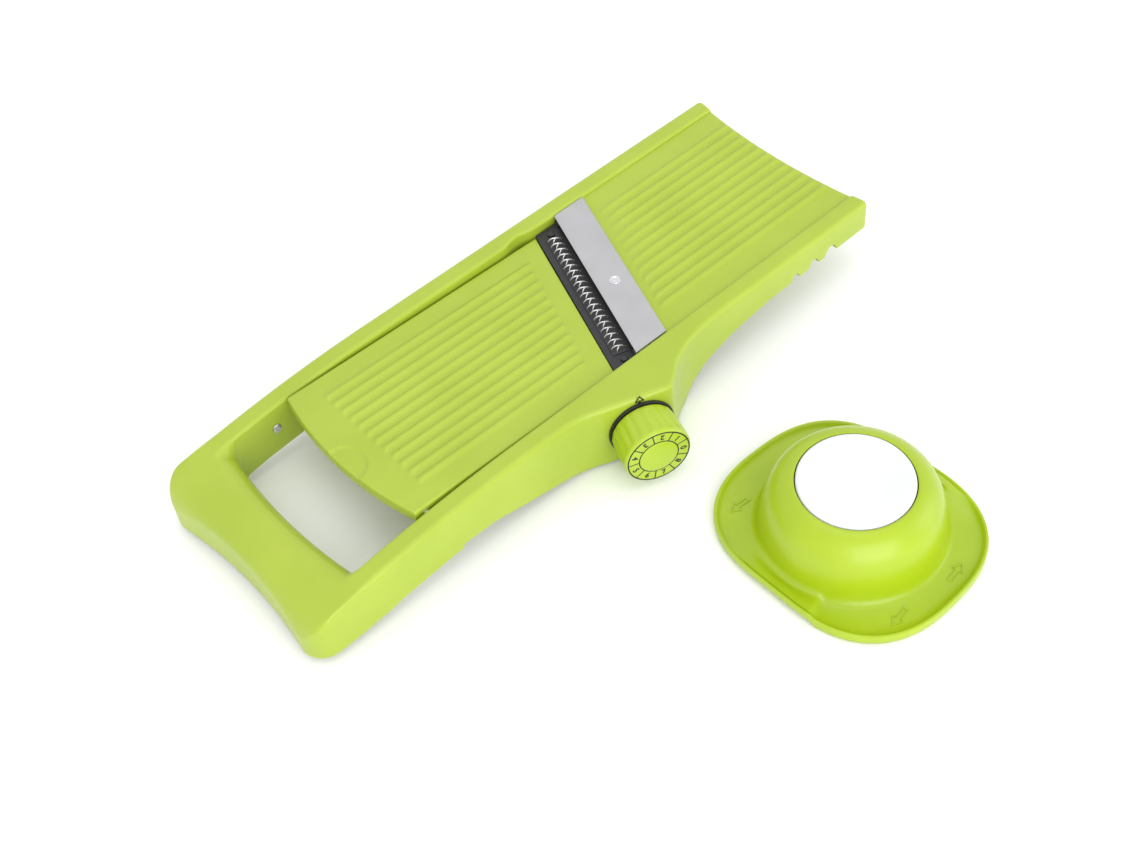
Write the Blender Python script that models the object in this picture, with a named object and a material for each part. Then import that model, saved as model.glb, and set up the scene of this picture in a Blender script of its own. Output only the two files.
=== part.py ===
"""Adjustable mandoline slicer with its hand guard standing beside it.

The slicer is laid out in millimetres in its own coordinates: +X runs along the slicer to the
far end, +Y runs across it, and +Z is up from the table. The blade, the julienne comb, the
camshaft and the dial all lie along a second, skewed set of axes that turns with the blade.
"""

import math

import bmesh
import bpy
from mathutils import Matrix, Vector, geometry

MM = 0.001
GAP = 0.3

# The origin of the whole part is the middle of its footprint.
SLICER_X = 83.5
SLICER_Y = 87.5

# Frame.
TOP = 40.5
RIB_TOP = 40.0
DECK_FLOOR = 38.6
DECK_THICK = 3.0
DECK_HALF = 51.0
RAIL_HALF = 61.5
WALL = 2.6
RAIL_SKIN = 2.8
FAR_X = 93.8
FAR_BOW = 5.2
HANDLE_X = -261.5
HANDLE_BOW = 4.5
HANDLE_CORNER = 12.0
HANDLE_CENTRE = -254.0
OPENING_X = -233.5
OPENING_BOW = 4.0
RAIL_CAVITY_X = -225.0
TOP_EDGE_RADIUS = 2.4
HIP_BOTTOM = 1.5
RIB_PITCH = 6.5
RIB_COUNT = 12
RIB_HALF_BASE = 2.3
RIB_HALF_TOP = 0.9

# The handle end sinks away from the deck's level and rolls over at its tip.
DROP_START = -140.0
DROP_RUN = 111.0
DROP_DEPTH = 9.4
INNER_ROLL = 11.5
INNER_ROLL_TOP = 33.4
INNER_ROLL_DROP = 12.4
ROLL_START = -251.0
ROLL_RADIUS = 15.6
HANDLE_BOTTOM = 3.6

# Skewed axes of the blade: local Y runs along the shaft, local X to the far end.
SKEW = math.radians(20.3)
SHAFT_X = -50.3
SHAFT_Z = 20.5
SHAFT_R = 2.5
BLADE_FRONT = 10.6
BLADE_REAR = 29.5
BLADE_THICK = 1.2
BLADE_STUD = 20.5
BED_FRONT = 20.0
RAMP_FRONT = -2.9
HIP_FACE = -78.0
HIP_CORNER = 17.3
HIP_LEFT = -19.0
COVER_SCREWS = ((-62.3, -68.1, 0.0), (-92.0, -59.0, 0.0))

# Ramp.
RAMP_HALF = 49.6
RAMP_END = -195.0
RAMP_END_BOW = 6.5
RAMP_SKIRT = 6.0
RAMP_SKIN = 2.6
RAMP_FRONT_DROP = 3.2
RAMP_END_RISE = 1.0
PIVOT_X = -189.0
PIVOT_Z = 35.2
PIVOT_R = 2.0
PIVOT_BOSS_R = 4.2
WALL_RIVET_X = -204.0
WALL_RIVET_Z = 23.8
TOE_ALONG = 47.0
TOE_REST = 5.0

# Dial travel and what it moves.
DIAL_LOW = -60.0
DIAL_HIGH = 240.0
RAMP_LIFT = 3.2
COMB_TILT = math.radians(8.0)
COMB_REST = 8.7
COMB_AXIS = 12.0
COMB_TOP = 35.3
TRUNNION_R = 1.6

# Knob.
KNOB_R = 18.0
KNOB_LENGTH = 18.9
FLUTES = 20
DIAL_RING_OUT = 16.7
DIAL_RING_IN = 10.8
KNOB_CAP_R = 10.5

# Hand guard.
GUARD_X = -41.2
GUARD_Y = -175.5
GUARD_TOP = 37.0
CAP_R = 27.2
BRIM_ENDS = 61.0
BRIM_SIDES = 54.5

TURN = 2.0 * math.pi


def clear_scene():
    """Remove whatever the file opened with."""
    for obj in list(bpy.data.objects):
        bpy.data.objects.remove(obj, do_unlink=True)


def material(name, colour, roughness, metallic=0.0):
    """A plain Principled finish."""
    made = bpy.data.materials.new(name)
    made.use_nodes = True
    shader = made.node_tree.nodes["Principled BSDF"]
    shader.inputs["Base Color"].default_value = (*colour, 1.0)
    shader.inputs["Roughness"].default_value = roughness
    shader.inputs["Metallic"].default_value = metallic
    return made


def empty(name, location, turn=0.0, parent=None):
    """An empty at a place in millimetres, turned about Z."""
    made = bpy.data.objects.new(name, None)
    made.location = Vector(location) * MM
    made.rotation_euler = (0.0, 0.0, turn)
    made.parent = parent
    bpy.context.collection.objects.link(made)
    return made


def solid(name, bm, finish, parent, location=(0.0, 0.0, 0.0), rotation=(0.0, 0.0, 0.0)):
    """Turn a bmesh drawn in millimetres into a named object on its parent."""
    bmesh.ops.recalc_face_normals(bm, faces=bm.faces)
    bmesh.ops.scale(bm, vec=(MM, MM, MM), verts=bm.verts)
    mesh = bpy.data.meshes.new(name)
    bm.to_mesh(mesh)
    bm.free()
    if finish:
        mesh.materials.append(finish)
    made = bpy.data.objects.new(name, mesh)
    made.location = Vector(location) * MM
    made.rotation_euler = rotation
    made.parent = parent
    bpy.context.collection.objects.link(made)
    return made


def prism_mesh(outline, low, high):
    """A bmesh of a flat outline raised from one height to another."""
    bm = bmesh.new()
    bottom = [bm.verts.new((x, y, low)) for x, y in outline]
    face = bm.faces.new(bottom)
    raised = bmesh.ops.extrude_face_region(bm, geom=[face])
    tops = [item for item in raised["geom"] if isinstance(item, bmesh.types.BMVert)]
    bmesh.ops.translate(bm, verts=tops, vec=(0.0, 0.0, high - low))
    return bm


def box_mesh(low, high):
    """A bmesh box between two corners."""
    outline = [(low[0], low[1]), (high[0], low[1]), (high[0], high[1]), (low[0], high[1])]
    return prism_mesh(outline, low[2], high[2])


def side_prism_mesh(outline, low, high):
    """An outline in X and Z, raised along Y."""
    bm = prism_mesh(outline, -high, -low)
    bmesh.ops.rotate(bm, verts=bm.verts, matrix=Matrix.Rotation(math.pi / 2, 3, "X"))
    return bm


def turned_mesh(profile, steps, inner=None):
    """A body turned about Z from (radius, height) points; inner is the bore's profile, if any.

    The outer profile runs from its lowest point to its highest one. Without a bore, each end is
    closed by a flat disc.
    """
    bm = bmesh.new()
    path = list(profile) + list(reversed(inner or []))
    rings = []
    for radius, height in path:
        ring = []
        for step in range(steps):
            angle = TURN * step / steps
            ring.append(bm.verts.new((radius * math.cos(angle), radius * math.sin(angle), height)))
        rings.append(ring)
    joined = len(rings) if inner else len(rings) - 1
    for index in range(joined):
        lower = rings[index]
        upper = rings[(index + 1) % len(rings)]
        for step in range(steps):
            after = (step + 1) % steps
            bm.faces.new((lower[step], lower[after], upper[after], upper[step]))
    if not inner:
        bm.faces.new(rings[0])
        bm.faces.new(rings[-1])
    return bm


def rod_mesh(radius, low, high, steps=16, bore=0.0):
    """A straight round rod or tube along Z."""
    inner = [(bore, low), (bore, high)] if bore else None
    return turned_mesh([(radius, low), (radius, high)], steps, inner)


def along_y(bm):
    """Lay a body that was drawn along Z down along Y."""
    bmesh.ops.rotate(bm, verts=bm.verts, matrix=Matrix.Rotation(-math.pi / 2, 3, "X"))
    return bm


def shade_round(obj, angle=40.0):
    """Smooth shading with sharp edges kept."""
    obj.data.shade_smooth()
    obj.data.set_sharp_from_angle(angle=math.radians(angle))


def combine(target, other, operation):
    """Apply a Boolean with another object, then drop that object."""
    modifier = target.modifiers.new(operation.title(), "BOOLEAN")
    modifier.operation = operation
    modifier.solver = "EXACT"
    modifier.object = other
    bpy.context.view_layer.update()
    graph = bpy.context.evaluated_depsgraph_get()
    shaped = bpy.data.meshes.new_from_object(target.evaluated_get(graph))
    target.modifiers.remove(modifier)
    target.data = shaped
    bpy.data.objects.remove(other, do_unlink=True)


def cut(target, bm, parent, location=(0.0, 0.0, 0.0), rotation=(0.0, 0.0, 0.0)):
    """Take a shape away from the target."""
    combine(target, solid("cutter", bm, None, parent, location, rotation), "DIFFERENCE")


def join(target, bm, parent, location=(0.0, 0.0, 0.0), rotation=(0.0, 0.0, 0.0)):
    """Fuse a shape into the target."""
    combine(target, solid("addition", bm, None, parent, location, rotation), "UNION")


def arc(centre, radius, start, end, steps):
    """Points on an arc, with the angles in degrees."""
    points = []
    for step in range(steps + 1):
        angle = math.radians(start + (end - start) * step / steps)
        points.append((centre[0] + radius * math.cos(angle), centre[1] + radius * math.sin(angle)))
    return points


def bezier(start, pull_start, pull_end, end, count):
    """Points on a cubic curve in the plane."""
    corners = [Vector((x, y, 0.0)) for x, y in (start, pull_start, pull_end, end)]
    return [(point.x, point.y) for point in geometry.interpolate_bezier(*corners, count)]


def skewed(across, along):
    """Slicer X and Y of a point given on the blade's skewed axes."""
    x = SHAFT_X + across * math.cos(SKEW) + along * math.sin(SKEW)
    y = -across * math.sin(SKEW) + along * math.cos(SKEW)
    return x, y


def along_at(across, y):
    """The place along the blade where a skewed line meets a given slicer Y."""
    return (y + across * math.sin(SKEW)) / math.cos(SKEW)


def skewed_x(across, y):
    """Slicer X of a line parallel to the blade, at a given slicer Y."""
    return skewed(across, along_at(across, y))[0]


def bowed(x_middle, bow, half, y):
    """X of a shallow bow across the slicer."""
    return x_middle + bow * (y / half) ** 2


def near_side():
    """The frame's outer edge on the dial's side, from the handle to the far end."""
    left = skewed(HIP_LEFT, HIP_FACE)
    corner = skewed(HIP_CORNER, HIP_FACE)
    face = Vector(corner) - Vector(left)
    face.normalize()
    before = Vector(corner) - face * 4.0
    points = bezier((-130.0, -RAIL_HALF), (-110.0, -RAIL_HALF), (left[0] - 9.0, left[1] + 4.2), left, 7)
    points += bezier(tuple(before), corner, corner, (corner[0] + 3.6, corner[1] + 2.8), 4)
    points += bezier((-54.0, -74.0), (-44.0, -65.0), (-30.0, -RAIL_HALF), (-6.0, -RAIL_HALF), 8)
    return points


def frame_outline():
    """The frame seen from above, anticlockwise."""
    points = near_side()
    far_corner = FAR_X + FAR_BOW
    points += arc((far_corner - 3.0, -RAIL_HALF + 3.0), 3.0, -90.0, -10.0, 3)
    for step in range(-4, 5):
        y = step * 13.5
        points.append((bowed(FAR_X, FAR_BOW, RAIL_HALF, y), y))
    points += arc((far_corner - 3.0, RAIL_HALF - 3.0), 3.0, 10.0, 90.0, 3)
    corner_y = RAIL_HALF - HANDLE_CORNER
    points += arc((HANDLE_CENTRE, corner_y), HANDLE_CORNER, 90.0, 175.0, 5)
    for step in range(3, -4, -1):
        y = step * 12.5
        points.append((bowed(HANDLE_X, -HANDLE_BOW, corner_y, y), y))
    points += arc((HANDLE_CENTRE, -corner_y), HANDLE_CORNER, 185.0, 270.0, 5)
    return points


def inset_path(points, distance):
    """Move an open path to its left by a distance."""
    moved = []
    for index, point in enumerate(points):
        before = Vector(points[max(index - 1, 0)])
        after = Vector(points[min(index + 1, len(points) - 1)])
        direction = (after - before).normalized()
        moved.append((point[0] - direction.y * distance, point[1] + direction.x * distance))
    return moved


def bottom_edge():
    """Height of the walls' lower edge along the slicer, from the handle to the far end."""
    points = [(-275.0, HANDLE_BOTTOM), (-236.0, 4.4), (-214.0, 8.1), (-187.0, 10.6), (-181.0, 10.8)]
    points += [(-178.0, 13.2), (-160.0, 12.6), (-141.0, 8.3), (-122.0, 4.6), (-104.0, 1.9)]
    points += [(-96.0, HIP_BOTTOM), (-42.0, HIP_BOTTOM), (-31.0, 9.3), (-20.0, 14.1), (1.4, 19.5), (24.0, 22.8)]
    for middle, half, height in ((44.0, 2.8, 3.8), (57.8, 3.6, 4.4), (70.6, 4.4, 5.0)):
        for angle in (0, 40, 80, 120, 155, 180):
            turn = math.radians(angle)
            points.append((middle - half * math.cos(turn), 23.4 + height * math.sin(turn)))
    points.append((110.0, 24.0))
    return points


def handle_drop(x):
    """How far the handle end sinks at a place along the slicer."""
    if x >= DROP_START:
        return 0.0
    sunk = DROP_DEPTH * ((DROP_START - x) / DROP_RUN) ** 2
    if x < ROLL_START:
        run = min(ROLL_START - x, ROLL_RADIUS * 0.985)
        sunk += ROLL_RADIUS - math.sqrt(ROLL_RADIUS**2 - run**2)
    return sunk


def sink_handle(obj):
    """Bend the finished frame down towards the handle."""
    bm = bmesh.new()
    bm.from_mesh(obj.data)
    for x in (-165, -180, -195, -210, -222, -232, -242, -251, -255, -259, -262, -264.5):
        geom = bm.verts[:] + bm.edges[:] + bm.faces[:]
        bmesh.ops.bisect_plane(bm, geom=geom, dist=1e-7, plane_co=(x * MM, 0, 0), plane_no=(1, 0, 0))
    bmesh.ops.triangulate(bm, faces=bm.faces)
    for vert in bm.verts:
        height = vert.co.z / MM
        share = max(height - HANDLE_BOTTOM, 0.0) / (TOP - HANDLE_BOTTOM)
        vert.co.z -= handle_drop(vert.co.x / MM) * share * MM
    bmesh.ops.dissolve_degenerate(bm, dist=1e-6, edges=bm.edges)
    bm.to_mesh(obj.data)
    bm.free()


def rib_mesh(start, end, y, base, top, back_slope=0.0):
    """One raised rib with soft sides, from one X to another."""
    bm = bmesh.new()
    rings = []
    for x, inward in ((start, 1.6), (end, -back_slope)):
        section = ((-RIB_HALF_BASE, base), (-RIB_HALF_TOP, top), (RIB_HALF_TOP, top), (RIB_HALF_BASE, base))
        ring = []
        for offset, height in section:
            lifted = inward if height == top else 0.0
            ring.append(bm.verts.new((x + lifted, y + offset, height)))
        rings.append(ring)
    for step in range(4):
        after = (step + 1) % 4
        bm.faces.new((rings[0][step], rings[0][after], rings[1][after], rings[1][step]))
    bm.faces.new(rings[0])
    bm.faces.new(rings[1])
    return bm


def build_frame(origin, skew_frame, finish):
    """Rails, handle bar, ribbed far deck, blade bed and dial housing, moulded in one."""
    bm = prism_mesh(frame_outline(), 0.0, TOP)
    top_edges = [edge for edge in bm.edges if all(vert.co.z > TOP - 0.01 for vert in edge.verts)]
    bmesh.ops.bevel(bm, geom=top_edges, offset=TOP_EDGE_RADIUS, segments=2, profile=0.5, affect="EDGES")
    frame = solid("frame", bm, finish, origin)

    cut(frame, box_mesh((-90.0, -DECK_HALF, DECK_FLOOR), (130.0, DECK_HALF, 60.0)), origin)
    window = []
    for step in range(4, -5, -1):
        y = step * DECK_HALF / 4
        window.append((bowed(OPENING_X, OPENING_BOW, DECK_HALF, y), y))
    window.append((skewed_x(BED_FRONT, -DECK_HALF), -DECK_HALF))
    window.append((skewed_x(BED_FRONT, DECK_HALF), DECK_HALF))
    cut(frame, prism_mesh(window, -10.0, 60.0), origin)
    under = DECK_FLOOR - DECK_THICK
    cut(frame, box_mesh((-75.0, -DECK_HALF, -10.0), (130.0, DECK_HALF, under)), origin)

    inner = DECK_HALF + WALL
    outer = RAIL_HALF - RAIL_SKIN
    ceiling = TOP - RAIL_SKIN
    cut(frame, box_mesh((RAIL_CAVITY_X, inner, -10.0), (94.0, outer, ceiling)), origin)
    hollow = [(RAIL_CAVITY_X, -outer)] + inset_path(near_side(), RAIL_SKIN)
    hollow += [(94.0, -outer), (94.0, -inner), (RAIL_CAVITY_X, -inner)]
    cut(frame, prism_mesh(hollow, -10.0, ceiling), origin)
    cut(frame, box_mesh((-257.0, -38.0, -10.0), (OPENING_X - 3.5, 38.0, 31.0)), origin)

    lower = [(-300.0, -30.0)] + [(-300.0, HANDLE_BOTTOM)] + bottom_edge() + [(140.0, 24.0), (140.0, -30.0)]
    cut(frame, side_prism_mesh(lower, -120.0, 90.0), origin)

    seat = []
    for across, edge in ((BLADE_REAR + GAP, -1), (BED_FRONT - 3.0, -1), (BED_FRONT - 3.0, 1), (BLADE_REAR + GAP, 1)):
        seat.append((across, along_at(across, edge * DECK_HALF)))
    cut(frame, prism_mesh(seat, RIB_TOP - BLADE_THICK - GAP, 60.0), skew_frame)

    tab = box_mesh((BLADE_STUD - 4.5, -6.0, DECK_FLOOR - DECK_THICK), (BED_FRONT + 1.0, 6.0, RIB_TOP - BLADE_THICK - GAP))
    join(frame, tab, skew_frame)
    for number in range(RIB_COUNT):
        y = ((RIB_COUNT - 1) / 2 - number) * RIB_PITCH
        start = skewed_x(BLADE_REAR + 4.0, y)
        end = bowed(FAR_X, FAR_BOW, RAIL_HALF, y) - 1.2
        join(frame, rib_mesh(start, end, y, DECK_FLOOR - 0.8, RIB_TOP, 0.8), origin)
    return frame


def inner_roll_mesh():
    """What is taken off the handle bar's inner edge to round it, following the bar's bow."""
    bm = bmesh.new()
    stations = []
    for step in range(-4, 5):
        y = step * DECK_HALF / 4
        edge = bowed(OPENING_X, OPENING_BOW, DECK_HALF, y) + 0.4
        low = INNER_ROLL_TOP - INNER_ROLL_DROP
        section = [(edge - INNER_ROLL - 9.0, 60.0)]
        for turn in (90, 72, 54, 36, 18, 0):
            angle = math.radians(turn)
            across = edge - INNER_ROLL + INNER_ROLL * math.cos(angle)
            section.append((across, low + INNER_ROLL_DROP * math.sin(angle)))
        section += [(edge + 9.0, low), (edge + 9.0, 60.0)]
        stations.append([bm.verts.new((x, y, z)) for x, z in section])
    count = len(stations[0])
    for before, after in zip(stations, stations[1:]):
        for index in range(count):
            following = (index + 1) % count
            bm.faces.new((before[index], before[following], after[following], after[index]))
    bm.faces.new(stations[0])
    bm.faces.new(stations[-1])
    return bm


def finish_frame(frame, origin, skew_frame):
    """The handle bar's round, then bores, bosses and screw holes, once the handle end is bent."""
    cut(frame, inner_roll_mesh(), origin)
    for place in COVER_SCREWS:
        join(frame, rod_mesh(3.0, 3.9, TOP - RAIL_SKIN + 0.6, 12), origin, place)
        cut(frame, rod_mesh(1.5, -1.0, 16.0, 12), origin, place)
    reach = along_y(rod_mesh(5.2, HIP_FACE - 3.0, -52.0, 24))
    cut(frame, reach, skew_frame, (0.0, 0.0, SHAFT_Z))
    far_bore = along_y(rod_mesh(5.2, 50.0, 60.6, 24))
    cut(frame, far_bore, skew_frame, (0.0, 0.0, SHAFT_Z))
    for side in (-1, 1):
        pin_bore = along_y(rod_mesh(PIVOT_R + GAP, -3.0, 3.0, 16))
        cut(frame, pin_bore, origin, (PIVOT_X, side * (DECK_HALF + 1.3), PIVOT_Z))
        rivet_bore = along_y(rod_mesh(1.5, -3.0, 3.0, 12))
        cut(frame, rivet_bore, origin, (WALL_RIVET_X, side * (DECK_HALF + 1.3), WALL_RIVET_Z))
        end = along_at(COMB_AXIS, side * (DECK_HALF + 1.3))
        trunnion_bore = along_y(rod_mesh(TRUNNION_R + GAP, end - 3.4, end + 3.4, 16))
        cut(frame, trunnion_bore, skew_frame, (COMB_AXIS, 0.0, COMB_TOP))
    stud_hole = rod_mesh(2.0, 30.0, 45.0, 12)
    cut(frame, stud_hole, skew_frame, (BLADE_STUD, 0.0, 0.0))
    shade_round(frame, 30.0)


def ramp_outline(half, front, end, bow):
    """The ramp seen from above, anticlockwise, in slicer coordinates."""
    points = [(skewed_x(front, -half), -half), (skewed_x(front, half), half)]
    for step in range(4, -5, -1):
        y = step * half / 4
        points.append((end - bow * (1 - (y / half) ** 2), y))
    return points


def build_ramp(pivot, skew_frame, finish):
    """The tilting plate in front of the blade, drawn level and then pitched about its pivot."""
    run = skewed_x(RAMP_FRONT, 0.0) - RAMP_END
    pitch = math.atan((RAMP_FRONT_DROP + RAMP_END_RISE) / run)
    rise = RAMP_END_RISE + RIB_TOP - PIVOT_Z
    floor = rise - 1.3

    def local(outline):
        return [(x - PIVOT_X, y) for x, y in outline]

    bm = prism_mesh(local(ramp_outline(RAMP_HALF, RAMP_FRONT, RAMP_END, RAMP_END_BOW)), floor - RAMP_SKIRT, floor)
    top_edges = [edge for edge in bm.edges if all(vert.co.z > floor - 0.01 for vert in edge.verts)]
    bmesh.ops.bevel(bm, geom=top_edges, offset=0.7, segments=1, affect="EDGES")
    ramp = solid("ramp", bm, finish, pivot)
    inside = local(ramp_outline(RAMP_HALF - 2.4, RAMP_FRONT - 2.0, RAMP_END + 2.4, RAMP_END_BOW))
    cut(ramp, prism_mesh(inside, floor - 20.0, floor - RAMP_SKIN), pivot)
    for number in range(RIB_COUNT):
        y = ((RIB_COUNT - 1) / 2 - number) * RIB_PITCH
        start = -183.0 - PIVOT_X
        end = skewed_x(RAMP_FRONT - 9.0, y) - PIVOT_X
        join(ramp, rib_mesh(start, end, y, floor - 0.8, rise, 1.6), pivot)
    for side in (-1, 1):
        boss = along_y(rod_mesh(PIVOT_BOSS_R, -2.3, 2.3, 20))
        join(ramp, boss, pivot, (0.0, side * (RAMP_HALF - 2.3), 0.0))
        bore = along_y(rod_mesh(PIVOT_R + GAP, -6.0, 6.0, 16))
        cut(ramp, bore, pivot, (0.0, side * (RAMP_HALF - 2.3), 0.0))
    ramp.rotation_euler = (0.0, pitch, 0.0)
    cut(ramp, box_mesh((-13.0, -70.0, 20.0), (4.0, 70.0, 32.4)), skew_frame)
    sole = SHAFT_Z + TOE_REST + 0.4
    for side in (-1, 1):
        low = side * TOE_ALONG - 1.8
        toe = box_mesh((-9.0, low, sole), (2.2, low + 3.6, sole + 1.6))
        leg = box_mesh((-9.0, low + 0.1, sole + 0.8), (-6.6, low + 3.5, 34.0))
        join(ramp, leg, skew_frame)
        join(ramp, toe, skew_frame)
    shade_round(ramp, 30.0)
    return ramp


def cam_outline(lift):
    """A snail cam; lift gives the height above the shaft at a dial angle in degrees."""
    points = []
    steps = 15
    for step in range(steps + 1):
        turned = DIAL_LOW - 12.0 + (DIAL_HIGH - DIAL_LOW + 24.0) * step / steps
        angle = -math.radians(turned)
        points.append((lift(turned) * math.sin(angle), lift(turned) * math.cos(angle)))
    return points


def build_cams(dial, finish):
    """Two cams lift the ramp's toes and two more carry the julienne comb."""
    lever = skewed_x(RAMP_FRONT, 0.0) - PIVOT_X

    def ramp_lift(side):
        reach = skewed(0.0, side * TOE_ALONG)[0] - PIVOT_X
        return lambda turned: TOE_REST + RAMP_LIFT * reach / lever * turned / DIAL_HIGH

    def comb_lift(turned):
        return COMB_REST - COMB_AXIS * math.tan(COMB_TILT * turned / DIAL_HIGH)

    places = (
        ("ramp_cam_near", ramp_lift(-1), -TOE_ALONG),
        ("ramp_cam_far", ramp_lift(1), TOE_ALONG),
        ("comb_cam_near", comb_lift, -36.0),
        ("comb_cam_far", comb_lift, 36.0),
    )
    for name, lift, along in places:
        cam = solid(name, side_prism_mesh(cam_outline(lift), along - 1.5, along + 1.5), finish, dial)
        cut(cam, along_y(rod_mesh(SHAFT_R + GAP, along - 5.0, along + 5.0, 20)), dial)
        shade_round(cam)


def build_blade(skew_frame, steel):
    """The straight skewed blade, ground from below, and the stud that locates it."""
    half = DECK_HALF - 0.4
    section = ((BLADE_FRONT, RIB_TOP - 0.15), (BLADE_FRONT + 4.5, RIB_TOP - BLADE_THICK))
    section += ((BLADE_REAR, RIB_TOP - BLADE_THICK), (BLADE_REAR, RIB_TOP), (BLADE_FRONT, RIB_TOP))
    bm = bmesh.new()
    ends = []
    for side in (-1, 1):
        ends.append([bm.verts.new((across, along_at(across, side * half), z)) for across, z in section])
    for step in range(5):
        after = (step + 1) % 5
        bm.faces.new((ends[0][step], ends[0][after], ends[1][after], ends[1][step]))
    bm.faces.new(ends[0])
    bm.faces.new(ends[1])
    blade = solid("blade", bm, steel, skew_frame)
    cut(blade, rod_mesh(2.3, 30.0, 50.0, 20), skew_frame, (BLADE_STUD, 0.0, 0.0))
    low = DECK_FLOOR - DECK_THICK - 1.1
    profile = [(3.2, low), (3.2, low + 0.8), (1.7, low + 0.8), (1.7, RIB_TOP - 0.25)]
    stud = solid("blade_rivet", turned_mesh(profile, 20), steel, skew_frame, (BLADE_STUD, 0.0, 0.0))
    shade_round(stud)


def build_comb(comb, black, steel):
    """The black carrier on its two trunnions, its strip of julienne teeth and their screws.

    The comb's axis runs along the blade at the carrier's top; places are given from there.
    """
    top = 0.0
    low = SHAFT_Z + COMB_REST + 0.35 - COMB_TOP
    outline = []
    for across, edge in ((-2.4, -1), (12.6, -1), (12.6, 1), (-2.4, 1)):
        outline.append((across - COMB_AXIS, along_at(across, edge * 50.2)))
    carrier = solid("comb_carrier", prism_mesh(outline, low, top), black, comb)
    for side in (-1, 1):
        inner = side * 41.0
        outer = side * 66.0
        relief = box_mesh((-20.0, min(inner, outer), low - 5.0), (20.0, max(inner, outer), top - 1.2))
        cut(carrier, relief, comb)
        end = along_at(COMB_AXIS, side * (DECK_HALF + 2.4))
        start = along_at(COMB_AXIS, side * (DECK_HALF - 5.0))
        join(carrier, along_y(rod_mesh(TRUNNION_R, min(start, end), max(start, end), 16)), comb)

    pitch = 4.45
    bar = box_mesh((5.4 - COMB_AXIS, -43.5, top + GAP), (7.4 - COMB_AXIS, 46.5, top + 1.6))
    strip = solid("julienne_teeth", bar, steel, comb)
    for number in range(20):
        along = 1.5 + (number - 9.5) * pitch
        hook = [(6.4, top + GAP + 0.1), (0.6, top + GAP + 0.1), (1.0, top + 2.2), (2.2, top + 3.0)]
        hook += [(2.9, top + 2.0), (4.6, top + 1.3), (6.4, top + 1.3)]
        hook = [(across - COMB_AXIS, height) for across, height in hook]
        join(strip, side_prism_mesh(hook, along - 0.4, along + 0.4), comb)
    for name, along in (("comb_screw_near", -47.4), ("comb_screw_far", 50.2)):
        profile = [(2.0, top + 0.05), (2.0, top + 0.55), (1.2, top + 0.9)]
        screw = solid(name, turned_mesh(profile, 16), steel, comb, (5.2 - COMB_AXIS, along, GAP))
        shade_round(screw)


def fluted_knob_mesh():
    """The knob's grip, drawn along Z with its base at zero and its face at the top."""
    bm = bmesh.new()
    around = FLUTES * 4
    levels = ((0.0, 16.6, 0.0), (0.6, 17.3, 0.35), (KNOB_LENGTH - 3.4, KNOB_R, 0.5))
    levels += ((KNOB_LENGTH - 1.2, KNOB_R - 0.2, 0.0), (KNOB_LENGTH, KNOB_R - 0.9, 0.0))
    rings = []
    for height, radius, depth in levels:
        ring = []
        for step in range(around):
            angle = TURN * step / around
            flute = radius - depth * (0.5 - 0.5 * math.cos(FLUTES * angle))
            ring.append(bm.verts.new((flute * math.cos(angle), flute * math.sin(angle), height)))
        rings.append(ring)
    for lower, upper in zip(rings, rings[1:]):
        for step in range(around):
            after = (step + 1) % around
            bm.faces.new((lower[step], lower[after], upper[after], upper[step]))
    bm.faces.new(rings[0])
    bm.faces.new(rings[-1])
    return bm


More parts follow.
